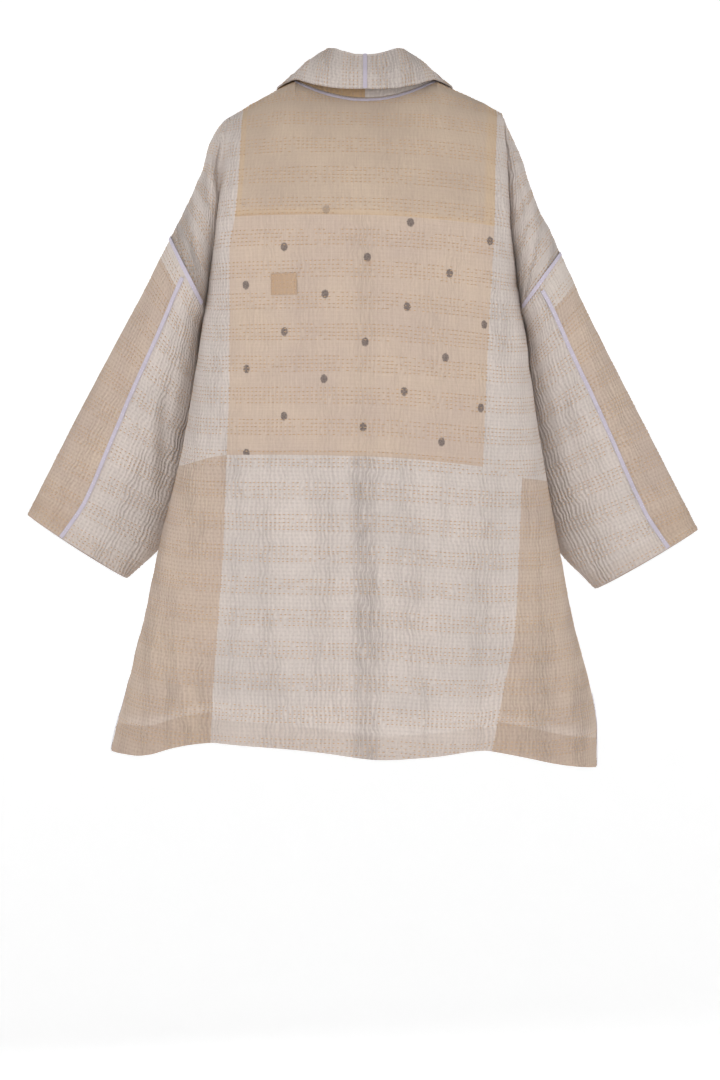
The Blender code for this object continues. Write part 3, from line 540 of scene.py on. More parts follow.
def back_columns(side, row):
    """Places across the back of one row, with the panel edges among them."""
    if side > 0:
        edge = across_at(side, 1, row, PANEL_EDGES, "left", EDGE_LIMIT)
        return middle_columns(side, edge) + closing(edge, STRIP_COLUMNS) + [1.0]
    seam_upper = across_at(side, 1, 3.0, PANEL_EDGES, "right_upper", RIGHT_EDGE_LIMIT)
    seam_lower = across_at(side, 1, 3.0, PANEL_EDGES, "right_lower", RIGHT_EDGE_LIMIT)
    if row <= 3:
        upper = across_at(side, 1, row, PANEL_EDGES, "right_upper", RIGHT_EDGE_LIMIT)
        lower = mix(upper, 1, (seam_lower - seam_upper) / (1 - seam_upper))
    else:
        lower = across_at(side, 1, row, PANEL_EDGES, "right_lower", RIGHT_EDGE_LIMIT)
        upper = lower * seam_upper / seam_lower
    columns = middle_columns(side, upper) + spread(upper, lower, TONGUE_COLUMNS)
    return columns + closing(lower, EDGE_COLUMNS) + [1.0]


def front_edge(side, row):
    """How far across a row lies the seam of the front band."""
    if row == 0:
        return neck_share(side)
    return across_at(side, -1, row, COLLAR_FRONT, "seam_x", EDGE_LIMIT)


def front_columns(side, row):
    """Places across the front, from the band seam to the side."""
    return closing(front_edge(side, row), NECK_COLUMNS + STRIP_COLUMNS) + [1.0]


def construction_rows():
    """Row values from the shoulder line to the hem."""
    rows = [0.0]
    for zone, count in enumerate((YOKE_ROWS, CHEST_ROWS, WAIST_ROWS, SKIRT_ROWS)):
        rows += [zone + (k + 1) / count for k in range(count)]
    return rows


def refine(points, steps=REFINE):
    """Smooth curves through a grid's points, first down and then across."""
    for axis in (0, 1):
        points = np.moveaxis(points, axis, 0)
        ends = [2 * points[:1] - points[1:2], points, 2 * points[-1:] - points[-2:-1]]
        run = np.concatenate(ends)
        before, start, end, after = run[:-3], run[1:-2], run[2:-1], run[3:]
        shares = np.arange(steps) / steps
        t = shares.reshape((1, steps) + (1,) * (points.ndim - 1))
        before, start, end, after = (x[:, None] for x in (before, start, end, after))
        bend = 2 * before - 5 * start + 4 * end - after
        turn = 3 * start - before - 3 * end + after
        curve = start + 0.5 * ((end - before) * t + bend * t**2 + turn * t**3)
        curve = curve.reshape((-1,) + points.shape[1:])
        points = np.moveaxis(np.concatenate([curve, points[-1:]]), 0, axis)
    return points


def unit(ways):
    length = np.linalg.norm(ways, axis=-1, keepdims=True)
    return ways / np.maximum(length, 1e-9)


def field(u, v, scale_u, scale_v, layer):
    """Soft unevenness from -1 to 1, by the flat place on the cloth in metres."""
    places = zip((u * scale_u).ravel(), (v * scale_v).ravel())
    values = [noise.noise(Vector((a, b, layer * 7.3))) for a, b in places]
    return np.array(values).reshape(u.shape)


def np_ramp(values, start, end):
    share = np.clip((values - start) / (end - start), 0, 1)
    return share * share * (3 - 2 * share)


class Grid:
    """One fine stretch of cloth: its places, the ways out and its flat coordinates.

    u runs across and v down the cloth, both in metres; v is the same all along a
    row, so that rows of quilting follow the rows of the grid.
    """

    def __init__(self, part, side, face, coarse, outward):
        self.part, self.side, self.face, self.outward = part, side, face, outward
        self.place = refine(np.array([[point[:] for point in row] for row in coarse]))
        self.measure()

    def measure(self):
        place = self.place
        across = np.linalg.norm(np.diff(place, axis=1), axis=2)
        down = np.linalg.norm(np.diff(place, axis=0), axis=2)
        self.u = np.pad(np.cumsum(across, axis=1), ((0, 0), (1, 0)))
        self.length = np.pad(np.cumsum(down, axis=0), ((1, 0), (0, 0)))
        self.v = np.repeat(self.length.mean(axis=1)[:, None], place.shape[1], axis=1)
        self.set_way()

    def set_way(self):
        down = np.gradient(self.place, axis=0)
        across = np.gradient(self.place, axis=1)
        way = np.cross(down, across) * self.outward
        size = np.linalg.norm(way, axis=2)
        for j in range(len(way) - 2, -1, -1):
            thin = size[j] < size[j + 1] * 0.02
            way[j][thin] = way[j + 1][thin]
        self.way = unit(way)

    def raise_by(self, height):
        self.place = self.place + self.way * height[..., None]


# The cloth's large and small relief, as lengths and depths in metres
Crease = namedtuple("Crease", "part face x1 z1 x2 z2 width depth")
CREASES = (
    Crease("drop", 1, 0.1960, -0.075, 0.2040, -0.165, 0.0065, -0.0060),
    Crease("drop", 1, 0.2150, -0.095, 0.2230, -0.178, 0.0060, -0.0045),
    Crease("drop", 1, 0.2060, -0.085, 0.2140, -0.190, 0.0060, 0.0030),
    Crease("torso", 1, 0.1900, -0.085, 0.2010, -0.200, 0.0060, -0.0025),
    Crease("drop", 1, -0.2060, -0.080, -0.2200, -0.220, 0.0070, -0.0035),
    Crease("drop", 1, -0.2280, -0.110, -0.2450, -0.215, 0.0060, -0.0020),
    Crease("torso", 1, -0.1900, -0.110, -0.1990, -0.270, 0.0050, 0.0020),
    Crease("sleeve", 1, 0.2660, -0.400, 0.2920, -0.575, 0.0080, -0.0050),
    Crease("sleeve", 1, 0.2860, -0.430, 0.3080, -0.585, 0.0090, 0.0030),
    Crease("sleeve", 1, 0.3020, -0.330, 0.3900, -0.520, 0.0110, -0.0022),
    Crease("sleeve", 1, 0.3500, -0.480, 0.4000, -0.620, 0.0100, 0.0022),
    Crease("sleeve", 1, -0.2750, -0.400, -0.3050, -0.580, 0.0090, -0.0040),
    Crease("sleeve", 1, -0.3000, -0.340, -0.3500, -0.520, 0.0110, -0.0022),
    Crease("sleeve", 1, -0.3700, -0.470, -0.4150, -0.610, 0.0100, 0.0022),
    Crease("torso", 1, 0.2150, -0.330, 0.1750, -0.470, 0.0120, -0.0022),
    Crease("torso", 1, -0.2080, -0.330, -0.1720, -0.480, 0.0120, -0.0022),
    Crease("torso", 1, -0.0700, -0.560, -0.0850, -0.900, 0.0130, -0.0030),
    Crease("torso", 1, 0.0400, -0.600, 0.0520, -0.910, 0.0140, -0.0028),
    Crease("torso", 1, 0.1350, -0.560, 0.1500, -0.900, 0.0120, 0.0025),
    Crease("torso", 1, -0.1380, -0.580, -0.1300, -0.905, 0.0110, 0.0025),
    Crease("torso", 1, 0.2550, -0.620, 0.2850, -0.915, 0.0110, -0.0030),
    Crease("torso", 1, -0.2350, -0.640, -0.2700, -0.935, 0.0110, -0.0030),
    Crease("torso", 1, 0.0100, -0.100, 0.0150, -0.300, 0.0160, -0.0014),
    Crease("torso", -1, 0.2100, -0.340, 0.1350, -0.440, 0.0120, -0.0030),
    Crease("torso", -1, -0.2050, -0.340, -0.1300, -0.430, 0.0120, -0.0030),
    Crease("torso", -1, 0.1400, -0.150, 0.1750, -0.330, 0.0120, -0.0026),
    Crease("torso", -1, -0.1450, -0.150, -0.1700, -0.350, 0.0120, -0.0026),
    Crease("torso", -1, 0.1600, -0.500, 0.1950, -0.900, 0.0140, 0.0034),
    Crease("torso", -1, -0.1500, -0.520, -0.1800, -0.900, 0.0140, 0.0034),
    Crease("torso", -1, 0.2500, -0.600, 0.2900, -0.905, 0.0120, -0.0034),
    Crease("torso", -1, -0.2350, -0.600, -0.2700, -0.920, 0.0120, -0.0034),
    Crease("torso", 1, 0.2180, -0.295, 0.2200, -0.385, 0.0140, 0.0032),
    Crease("torso", -1, 0.2180, -0.295, 0.2200, -0.385, 0.0140, 0.0032),
    Crease("torso", 1, -0.2110, -0.285, -0.2130, -0.395, 0.0140, 0.0056),
    Crease("torso", -1, -0.2110, -0.285, -0.2130, -0.395, 0.0140, 0.0056),
    Crease("drop", -1, 0.1970, -0.080, 0.2100, -0.190, 0.0070, -0.0045),
    Crease("drop", -1, -0.2030, -0.085, -0.2180, -0.200, 0.0070, -0.0045),
    Crease("sleeve", -1, 0.2650, -0.360, 0.3150, -0.420, 0.0100, -0.0034),
    Crease("sleeve", -1, 0.2900, -0.470, 0.3600, -0.500, 0.0110, -0.0028),
    Crease("sleeve", -1, 0.3600, -0.430, 0.4300, -0.610, 0.0120, 0.0026),
    Crease("sleeve", -1, -0.2600, -0.360, -0.3100, -0.420, 0.0100, -0.0034),
    Crease("sleeve", -1, -0.2850, -0.480, -0.3500, -0.510, 0.0110, -0.0028),
    Crease("sleeve", -1, -0.3500, -0.430, -0.4200, -0.620, 0.0120, 0.0026),
)
PUCKER_PITCH = 0.0205
PUCKER_DEPTH = 0.00055
PUCKER_SWAY = 0.0060
CRUMPLE_DEPTH = 0.0011
QUILT_PERIOD = 0.0430
QUILT_SINK = 0.00050
SEAM_FADE = 0.0080
YOKE_DEPTH = 0.2050


def creases(grid):
    """Soft troughs and ridges, deepest in their middle and gone at their ends."""
    height = np.zeros(grid.u.shape)
    x, z = grid.place[..., 0], grid.place[..., 2]
    for crease in CREASES:
        if crease.part != grid.part or crease.face != grid.face:
            continue
        run_x, run_z = crease.x2 - crease.x1, crease.z2 - crease.z1
        length = math.hypot(run_x, run_z)
        share = ((x - crease.x1) * run_x + (z - crease.z1) * run_z) / length**2
        away = ((x - crease.x1) * run_z - (z - crease.z1) * run_x) / length
        away = away + 0.004 * np.sin(5.0 * share)
        taper = np.clip(4 * share * (1 - share), 0, 1) ** 0.8
        height += crease.depth * taper * np.exp(-((away / crease.width) ** 2))
    return height


def relief(grid, strength=1.0):
    """Height of the quilted surface over the smooth form."""
    u, v = grid.u * grid.side, grid.v
    layer = {"torso": 0, "drop": 0, "sleeve": 2, "collar": 4}[grid.part] + (grid.face < 0)
    sway = field(u, v, 16, 11, layer) * PUCKER_SWAY
    uneven = np.clip(field(u, v, 11, 3, layer + 0.5) * 1.3 + 0.55, 0.1, 1.2)
    pucker = PUCKER_DEPTH * uneven * np.sin(2 * math.pi * (u + sway) / PUCKER_PITCH)
    crumple = CRUMPLE_DEPTH * field(u, v, 24, 17, layer + 0.2)
    crumple += CRUMPLE_DEPTH * 0.5 * field(u, v, 52, 38, layer + 0.7)
    into = (v % QUILT_PERIOD) / QUILT_PERIOD - 0.5
    sink = -QUILT_SINK * np.exp(-((into / 0.17) ** 2))
    height = strength * (pucker + crumple + sink)
    if grid.part == "torso" and grid.face > 0:
        upper = 1 - np_ramp(grid.v, 0.50, 0.56)
        height *= 1 - 0.62 * upper * (1 - np_ramp(grid.u, 0.165, 0.185))
    return height


def fade_edges(grid, edges):
    """1 over the middle of a grid, 0 along its stated shared edges."""
    shape = np.ones(grid.u.shape)
    width = grid.u[:, -1:]
    if "first_row" in edges:
        shape *= np_ramp(grid.length, 0.0, SEAM_FADE)
    if "last_row" in edges:
        shape *= np_ramp(grid.length[-1:] - grid.length, 0.0, SEAM_FADE)
    if "first_column" in edges:
        shape *= np_ramp(grid.u, 0.0, SEAM_FADE)
    if "last_column" in edges:
        shape *= np_ramp(width - grid.u, 0.0, SEAM_FADE)
    return shape


def share_way(one, two, rows=slice(None), columns=slice(None)):
    """Gives two grids one way out along an edge that both have."""
    total = unit(one.way[rows, columns] + two.way[rows, columns])
    one.way[rows, columns] = total
    two.way[rows, columns] = total


def make_grids():
    """All stretches of the coat but the collar, by part, side and face."""
    rows = construction_rows()
    armhole = YOKE_ROWS + CHEST_ROWS
    shares = [k / SLEEVE_ROWS for k in range(SLEEVE_ROWS + 1)]
    columns = range(ARM_COLUMNS + 1)
    grids = {}
    for side in (1, -1):
        for face in (1, -1):
            places = back_columns if face > 0 else front_columns
            torso = [[torso_point(side, face, c, row) for c in places(side, row)] for row in rows]
            drop = [[drop_point(side, face, c, row) for c in columns] for row in rows[:armhole + 1]]
            sleeve = [
                [sleeve_point(side, face, column_angle(side, s, c), s) for c in columns]
                for s in shares
            ]
            grids["torso", side, face] = Grid("torso", side, face, torso, -side * face)
            grids["drop", side, face] = Grid("drop", side, face, drop, side * face)
            grids["sleeve", side, face] = Grid("sleeve", side, face, sleeve, side * face)
    return grids


def settle(grids):
    """Makes neighbouring grids meet exactly, then raises their relief."""
    armhole = (YOKE_ROWS + CHEST_ROWS) * REFINE
    for side in (1, -1):
        for face in (1, -1):
            torso, drop, sleeve = (grids[part, side, face] for part in ("torso", "drop", "sleeve"))
            drop.place[:, -1] = torso.place[:armhole + 1, -1]
            sleeve.place[0] = drop.place[-1]
            for grid in (torso, drop, sleeve):
                grid.measure()
            torso.v = torso.length - torso.length[YOKE_END] + YOKE_DEPTH
            drop.v = np.repeat(torso.v[:armhole + 1, -1:], drop.place.shape[1], axis=1)
            drop.reach = drop.u[:, -1:]
            drop.u = torso.u[:armhole + 1, -1:] + drop.reach - drop.u
    for side in (1, -1):
        back, front = grids["torso", side, 1], grids["torso", side, -1]
        share_way(back, front, slice(armhole, None), -1)
        for part in ("drop", "sleeve"):
            share_way(grids[part, side, 1], grids[part, side, -1], slice(None), 0)
        share_way(grids["sleeve", side, 1], grids["sleeve", side, -1], slice(None), -1)
        for face in (1, -1):
            torso, drop = grids["torso", side, face], grids["drop", side, face]
            way = unit(torso.way[:armhole, -1] + drop.way[:armhole, -1])
            torso.way[:armhole, -1] = way
            drop.way[:armhole, -1] = way
            drop.way[-1] = unit(drop.way[-1] + grids["sleeve", side, face].way[0])
            grids["sleeve", side, face].way[0] = drop.way[-1]
    for grid in grids.values():
        grid.smooth = grid.place
    left, right = grids["torso", 1, 1], grids["torso", -1, 1]
    share_way(left, right, slice(None), 0)
    left.way[:, 0, 0] = 0
    right.way[:, 0, 0] = 0
    for grid in grids.values():
        u, part = grid.u, grid.part
        if part == "torso":
            shared = ("first_row", "last_column") if grid.face > 0 else ("first_row", "last_column", "first_column")
            height = relief(grid) * fade_edges(grid, shared)
        elif part == "drop":
            grid.u = grid.reach + u[:, -1:] - u
            shape = fade_edges(grid, ("first_column", "last_column", "last_row"))
            grid.u = u
            height = relief(grid) * shape
        else:
            height = relief(grid) * fade_edges(grid, ("first_row", "first_column", "last_column"))
        soft = height + creases(grid) * fade_edges(grid, ("first_row",))
        grid.raise_by(soft)
    for side in (1, -1):
        for face in (1, -1):
            torso, drop, sleeve = (grids[part, side, face] for part in ("torso", "drop", "sleeve"))
            drop.place[:, -1] = torso.place[:armhole + 1, -1]
            sleeve.place[0] = drop.place[-1]
        for part in ("drop", "sleeve"):
            grids[part, side, -1].place[:, 0] = grids[part, side, 1].place[:, 0]
        grids["sleeve", side, -1].place[:, -1] = grids["sleeve", side, 1].place[:, -1]
    right.place[:, 0] = left.place[:, 0]
    return grids
# Rows and columns at which the pieces part, in refined steps
YOKE_END = YOKE_ROWS * REFINE
WAIST_START = (YOKE_ROWS + CHEST_ROWS + WAIST_ROWS) * REFINE
PANEL_END = PANEL_COLUMNS * REFINE
TONGUE_END = (PANEL_COLUMNS + TONGUE_COLUMNS) * REFINE
TAPE_LINE = TAPE_COLUMN * REFINE


def block(grid, rows=(0, None), columns=(0, None), v_start=0.0):
    """The stretch of a grid that belongs to one piece, with its flat coordinates.

    edge holds the distance to the panel's side edge and to its lower edge.
    """
    rows = slice(rows[0], None if rows[1] is None else rows[1] + 1)
    columns = slice(columns[0], None if columns[1] is None else columns[1] + 1)
    u = grid.u[rows, columns]
    length = grid.length[rows, columns]
    aside = np.abs(u[:, -1:] - u)
    if columns.start:
        aside = np.minimum(aside, np.abs(u - u[:, :1]))
    edge = np.stack([aside, length[-1:] - length], axis=-1)
    return {
        "place": grid.place[rows, columns],
        "way": grid.way[rows, columns],
        "smooth": grid.smooth[rows, columns],
        "flat": np.stack([u * grid.turn, grid.v[rows, columns] + v_start], axis=-1),
        "edge": edge,
        "outward": grid.outward,
    }


def piece_blocks(grids):
    """Every cut piece of body and sleeves, as the blocks that make it up."""
    armhole = (YOKE_ROWS + CHEST_ROWS) * REFINE
    left, right = grids["torso", 1, 1], grids["torso", -1, 1]
    middle = (0, PANEL_END)
    pieces = {
        "back_yoke": [block(g, (0, YOKE_END), middle) for g in (left, right)],
        "back_centre": [block(g, (YOKE_END, WAIST_START), middle) for g in (left, right)],
        "back_lower_centre": [
            block(left, (WAIST_START, None), middle),
            block(right, (WAIST_START, None), (0, TONGUE_END)),
        ],
        "back_lower_left": [block(left, (WAIST_START, None), (PANEL_END, None))],
        "back_lower_right": [block(right, (WAIST_START, None), (TONGUE_END, None))],
    }
    for side in (1, -1):
        name = name_of(side)
        back, front = grids["torso", side, 1], grids["torso", side, -1]
        pieces["back_side_" + name] = [
            block(back, (0, WAIST_START), (PANEL_END, None)), block(grids["drop", side, 1])
        ]
        pieces["front_upper_" + name] = [
            block(front, (0, WAIST_START)), block(grids["drop", side, -1])
        ]
        pieces["front_lower_" + name] = [block(front, (WAIST_START, None))]
        start = grids["drop", side, 1].v[-1, 0]
        sleeves = [grids["sleeve", side, face] for face in (1, -1)]
        pieces["sleeve_outer_" + name] = [
            block(g, (0, None), (0, TAPE_LINE), start) for g in sleeves
        ]
        pieces["sleeve_inner_" + name] = [
            block(g, (0, None), (TAPE_LINE, None), start) for g in sleeves
        ]
    return pieces


def join_blocks(blocks):
    """One sheet of points and faces from blocks that meet edge to edge."""
    places, ways, flats, edges, faces = [], [], [], [], []
    start = 0
    for part in blocks:
        rows, columns = part["place"].shape[:2]
        index = start + np.arange(rows * columns).reshape(rows, columns)
        cell = [index[:-1, :-1], index[1:, :-1], index[1:, 1:], index[:-1, 1:]]
        if part["outward"] < 0:
            cell.reverse()
        faces.append(np.stack(cell, axis=-1).reshape(-1, 4))
        for store, key in ((places, "place"), (ways, "way"), (flats, "flat"), (edges, "edge")):
            store.append(part[key].reshape(rows * columns, -1))
        start += rows * columns
    places, ways, flats, edges, faces = map(np.concatenate, (places, ways, flats, edges, faces))
    _, first, back = np.unique(np.round(places / 0.00002), axis=0, return_index=True, return_inverse=True)
    welded = back.reshape(-1)[faces]
    flat_faces, flat_corners = [], []
    for corners, own in zip(welded.tolist(), faces.tolist()):
        kept = [k for k in range(4) if corners[k] != corners[k - 1]]
        if len(kept) > 2:
            flat_faces.append([corners[k] for k in kept])
            flat_corners.append([own[k] for k in kept])
    return places[first], unit(ways[first]), flats, edges, flat_faces, flat_corners


def shell(name, blocks, wall, materials):
    """Closed thin wall with its outer face on the sheet, and its flat coordinates."""
    places, ways, flats, edges, faces, corners = join_blocks(blocks)
    count = len(places)
    uses = {}
    for face in faces:
        for a, b in zip(face, face[1:] + face[:1]):
            uses[a, b] = uses.get((a, b), 0) + 1
    corner_of = {}
    for face, own in zip(faces, corners):
        for vert, source in zip(face, own):
            corner_of[vert] = source
    all_faces = list(faces) + [[v + count for v in reversed(face)] for face in faces]
    all_corners = list(corners) + [list(reversed(own)) for own in corners]
    slots = [0] * len(faces) + [1] * len(faces)
    for a, b in uses:
        if (b, a) not in uses:
            all_faces.append([b, a, a + count, b + count])
            all_corners.append([corner_of[b], corner_of[a], corner_of[a], corner_of[b]])
            slots.append(0)
    mesh = bpy.data.meshes.new(name)
    mesh.from_pydata(np.concatenate([places, places - ways * wall]).tolist(), [], all_faces)
    order = np.array([corner for own in all_corners for corner in own])
    for layer, values in (("cloth", flats), ("edge", edges)):
        mesh.uv_layers.new(name=layer).data.foreach_set("uv", values[order].ravel())
    mesh.polygons.foreach_set("material_index", slots)
    for material in materials:
        mesh.materials.append(material)
    mesh.shade_smooth()
    mesh.set_sharp_from_angle(angle=math.radians(50))
    mesh.update()
    item = bpy.data.objects.new(name, mesh)
    bpy.context.collection.objects.link(item)
    return item


def flat_size(blocks):
    """Width, length and area of the flat cut, measured on the smooth form."""
    width, length, area = 0.0, 0.0, 0.0
    for part in blocks:
        place = part["smooth"]
        across, down = np.diff(place, axis=1), np.diff(place, axis=0)
        width += float(np.linalg.norm(across, axis=2).sum(axis=1).max())
        length = max(length, float(np.linalg.norm(down, axis=2).sum(axis=0).max()))
        one = np.cross(down[:, :-1], across[:-1])
        two = np.cross(down[:, 1:], across[1:])
        area += 0.5 * (np.linalg.norm(one, axis=2).sum() + np.linalg.norm(two, axis=2).sum())
    return width, length, float(area)


def collar_sections(side):
    """Seam, roll and fall-edge points of each station, with the way outwards."""
    sections = []
    for degrees in range(0, 91, 9):
        turn = math.radians(degrees)
        seam = torso_point(side, 1, neck_share(side) * math.sin(turn), 0.0)
        place = [read(COLLAR_BACK, column, "turn", degrees) for column in Collar._fields[1:]]
        roll = Vector((side * place[0], place[1], place[2]))
        edge = Vector((side * place[3], place[4], place[5]))
        outward = Vector((side * math.sin(turn), math.cos(turn), 0.0))
        sections.append((seam, roll, edge, outward))
    rows = construction_rows()
    for row in rows[1:]:
        seam, outward = front_surface(side, front_edge(side, row), row)
        height = seam.z
        lean = [read(COLLAR_FRONT, column, "z", height) for column in ("lean_x", "lean_y", "lean_z")]
        free_roll = seam + Vector((side * lean[0], lean[1], lean[2]))
        roll_across = across_at(side, -1, row, COLLAR_FRONT, "roll_x", EDGE_LIMIT)
        roll, roll_outward = front_surface(side, roll_across, row)
        roll += roll_outward * (COLLAR_ROLL - WALL)
        edge_across = across_at(side, -1, row, COLLAR_FRONT, "edge_x", EDGE_LIMIT)
        edge, edge_outward = front_surface(side, edge_across, row)
        edge += edge_outward * read(COLLAR_FRONT, "lift", "z", height)
        roll = free_roll.lerp(roll, ramp(row, 0.6, 1.3))
        outward = (edge_outward + outward).normalized()
        sections.append((seam, roll, edge, outward))
    return sections


def collar_row(seam, roll, edge, outward):
    """Points of one station: up the stand, round the roll, out to the edge."""
    up = (roll - seam).normalized()
    outward = (outward - up * outward.dot(up)).normalized()
    centre = roll - up * COLLAR_ROLL
    seam = seam + up * 2 * SEAM_GAP - outward * COLLAR_WALL
    points = [seam.lerp(centre - outward * COLLAR_ROLL, k / STAND_STEPS) for k in range(STAND_STEPS)]
    for k in range(ROLL_STEPS + 1):
        turn = math.pi * k / ROLL_STEPS
        points.append(centre + (up * math.sin(turn) - outward * math.cos(turn)) * COLLAR_ROLL)
    start = centre + outward * COLLAR_ROLL
    for k in range(FALL_STEPS):
        share = (k + 1) / FALL_STEPS
        points.append(start.lerp(edge, share) + outward * FALL_BOW * math.sin(math.pi * share))
    return points


def front_surface(side, across, row):
    """Place on the coat's front and the way out of it."""
    step = 0.0005
    wide = torso_point(side, -1, across + step, row) - torso_point(side, -1, across - step, row)
    deep = torso_point(side, -1, across, row + step) - torso_point(side, -1, across, row - step)
    way = wide.cross(deep).normalized()
    return torso_point(side, -1, across, row), way if way.y < 0 else -way


def collar_grids():
    """Both halves of the collar and its front bands; u runs along it from centre back."""
    halves = {}
    for side in (1, -1):
        rows = [collar_row(*section) for section in collar_sections(side)]
        halves[side] = Grid("collar", side, 1, rows, side)
        halves[side].smooth = halves[side].place
    for grid in halves.values():
        grid.way[0, :, 0] = 0
        grid.way[0] = unit(grid.way[0])
    for side, grid in halves.items():
        across, down = grid.u.copy(), grid.length.copy()
        grid.u = down
        grid.v = np.repeat(across.mean(axis=0)[None, :], len(across), axis=0)
        height = relief(grid, 0.8)
        edge_wave = 0.0012 * field(grid.u, grid.v * 0, 26, 1, 9) * np_ramp(across, 0.0, 0.06)
        seam_fade = np_ramp(across, 0.0, 0.02) * np_ramp(down, 0.0, SEAM_FADE)
        fall_fade = 1 - 0.5 * np_ramp(across, 0.10, 0.13)
        grid.raise_by((height + edge_wave) * seam_fade * fall_fade)
        grid.length = across
    return halves


def surface_at(grid, row, column):
    """Place and way out at a fractional row and column."""
    j = min(max(row, 0.0), grid.place.shape[0] - 1.001)
    i = min(max(column, 0.0), grid.place.shape[1] - 1.001)
    j0, i0 = int(j), int(i)
    a, b = j - j0, i - i0

    def blend(values):
        top = values[j0, i0] * (1 - b) + values[j0, i0 + 1] * b
        low = values[j0 + 1, i0] * (1 - b) + values[j0 + 1, i0 + 1] * b
        return top * (1 - a) + low * a

    return Vector(blend(grid.place)), Vector(blend(grid.way)).normalized()


def ribbon(name, path, width, material, lift, across_steps=6):
    """Woven tape: a flat closed strip with a soft crown, along places on cloth."""
    path = [(Vector(p), Vector(w)) for p, w in path]
    length = 0.0
    mesh = bmesh.new()
    flat = mesh.loops.layers.uv.new("cloth")
    sections, runs = [], []
    for k, (point, way) in enumerate(path):
        if k:
            length += (point - path[k - 1][0]).length
        along = path[min(len(path) - 1, k + 1)][0] - path[max(0, k - 1)][0]
        aside = way.cross(along).normalized()
        rising = 0.00018 * math.sin(length * 2 * math.pi / 0.0047) + lift
        top, low = [], []
        for i in range(across_steps + 1):
            share = i / across_steps * 2 - 1
            crown = TAPE_WALL * (1 - 0.45 * share**4)
            foot = point + aside * share * width / 2 + way * rising
            top.append(mesh.verts.new(foot + way * crown))
            low.append(mesh.verts.new(foot))
        sections.append((top, low))
        runs.append(length)
    for k in range(len(sections) - 1):
        for layer, flip in ((0, False), (1, True)):
            one, two = sections[k][layer], sections[k + 1][layer]
            for i in range(across_steps):
                cell = [(one[i], k, i), (one[i + 1], k, i + 1), (two[i + 1], k + 1, i + 1), (two[i], k + 1, i)]
                if flip:
                    cell.reverse()
                face = mesh.faces.new([c[0] for c in cell])
                for loop, (_, row, column) in zip(face.loops, cell):
                    loop[flat].uv = (runs[row], column / across_steps * width)
        for i in (0, across_steps):
            (top_a, low_a), (top_b, low_b) = sections[k], sections[k + 1]
            cell = [top_a[i], top_b[i], low_b[i], low_a[i]]
            mesh.faces.new(cell if i == 0 else cell[::-1])
    for k, turned in ((0, False), (-1, True)):
        top, low = sections[k]
        for i in range(across_steps):
            cell = [top[i], low[i], low[i + 1], top[i + 1]]
            mesh.faces.new(cell[::-1] if turned else cell)
    bmesh.ops.recalc_face_normals(mesh, faces=mesh.faces[:])
    data = bpy.data.meshes.new(name)
    mesh.to_mesh(data)
    mesh.free()
    data.shade_smooth()
    data.set_sharp_from_angle(angle=math.radians(50))
    data.materials.append(material)
    item = bpy.data.objects.new(name, data)
    bpy.context.collection.objects.link(item)
    return item, length
def add(tree, kind, feeds=(), out=0, **settings):
    """Adds a node with its settings, feeds it values or sockets, and gives one output."""
    node = tree.nodes.new(kind)
    for name, value in settings.items():
        setattr(node, name, value)
    for key, value in feeds.items() if isinstance(feeds, dict) else enumerate(feeds):
        if isinstance(value, bpy.types.NodeSocket):
            tree.links.new(value, node.inputs[key])
        elif value is not None:
            node.inputs[key].default_value = value
    return node.outputs[out] if node.outputs else node


def linear(code, alpha=True):
    """Linear colour of an sRGB hex value."""
    parts = [int(code[k:k + 2], 16) / 255 for k in (1, 3, 5)]
    parts = [c / 12.92 if c <= 0.04045 else ((c + 0.055) / 1.055) ** 2.4 for c in parts]
    return (*parts, 1.0) if alpha else tuple(parts)


def new_material(name, colour, roughness, specular, sheen):
    """A matt shader whose even values stand on its own sockets."""
    material = bpy.data.materials.new(name)
    material.use_nodes = True
    tree = material.node_tree
    shader = tree.nodes["Principled BSDF"]
    shader.inputs["Base Color"].default_value = colour
    shader.inputs["Roughness"].default_value = roughness
    shader.inputs["Specular IOR Level"].default_value = specular
    shader.inputs["Sheen Weight"].default_value = sheen
    shader.inputs["Sheen Roughness"].default_value = 0.5
    return material, tree, shader


# Kantha-quilted cotton gauze: two soft layers, hand woven and many times washed,
# so it is matt, a little slubby, and drawn up into ripples between stitch rows
THREAD = 0.0014
SLUB_LENGTH = 0.040
RIPPLE_PITCH = 0.0056
TONE_ROW_PITCH = 0.0054
DASH_PITCH = 0.0080
RIPPLE_HEIGHT = 0.00062
ROW_DEPTH = 0.00030
WEAVE_HEIGHT = 0.00016
DOT_RADIUS = 0.0056
DOT_COLUMN = 0.05525
DOT_DROP = 0.1150
DOT_SKEW = 0.0070
DOT_LEAN = 0.23
DOT_LEAN_U = 0.110
DOT_LEAN_V = 0.365
BAND_EDGE = 0.0009
SLEEVE_PALE_END = 0.370
STAIN_PLACE = (-0.006, 0.2700, 0.0)
DOT_START = (-0.0003, 0.0329)


def cloth_coordinates(tree):
    """Flat place on the cloth in metres, as a vector and as its two parts."""
    flat = add(tree, "ShaderNodeUVMap", uv_map="cloth")
    u = add(tree, "ShaderNodeSeparateXYZ", (flat,))
    return flat, u, u.node.outputs[1]


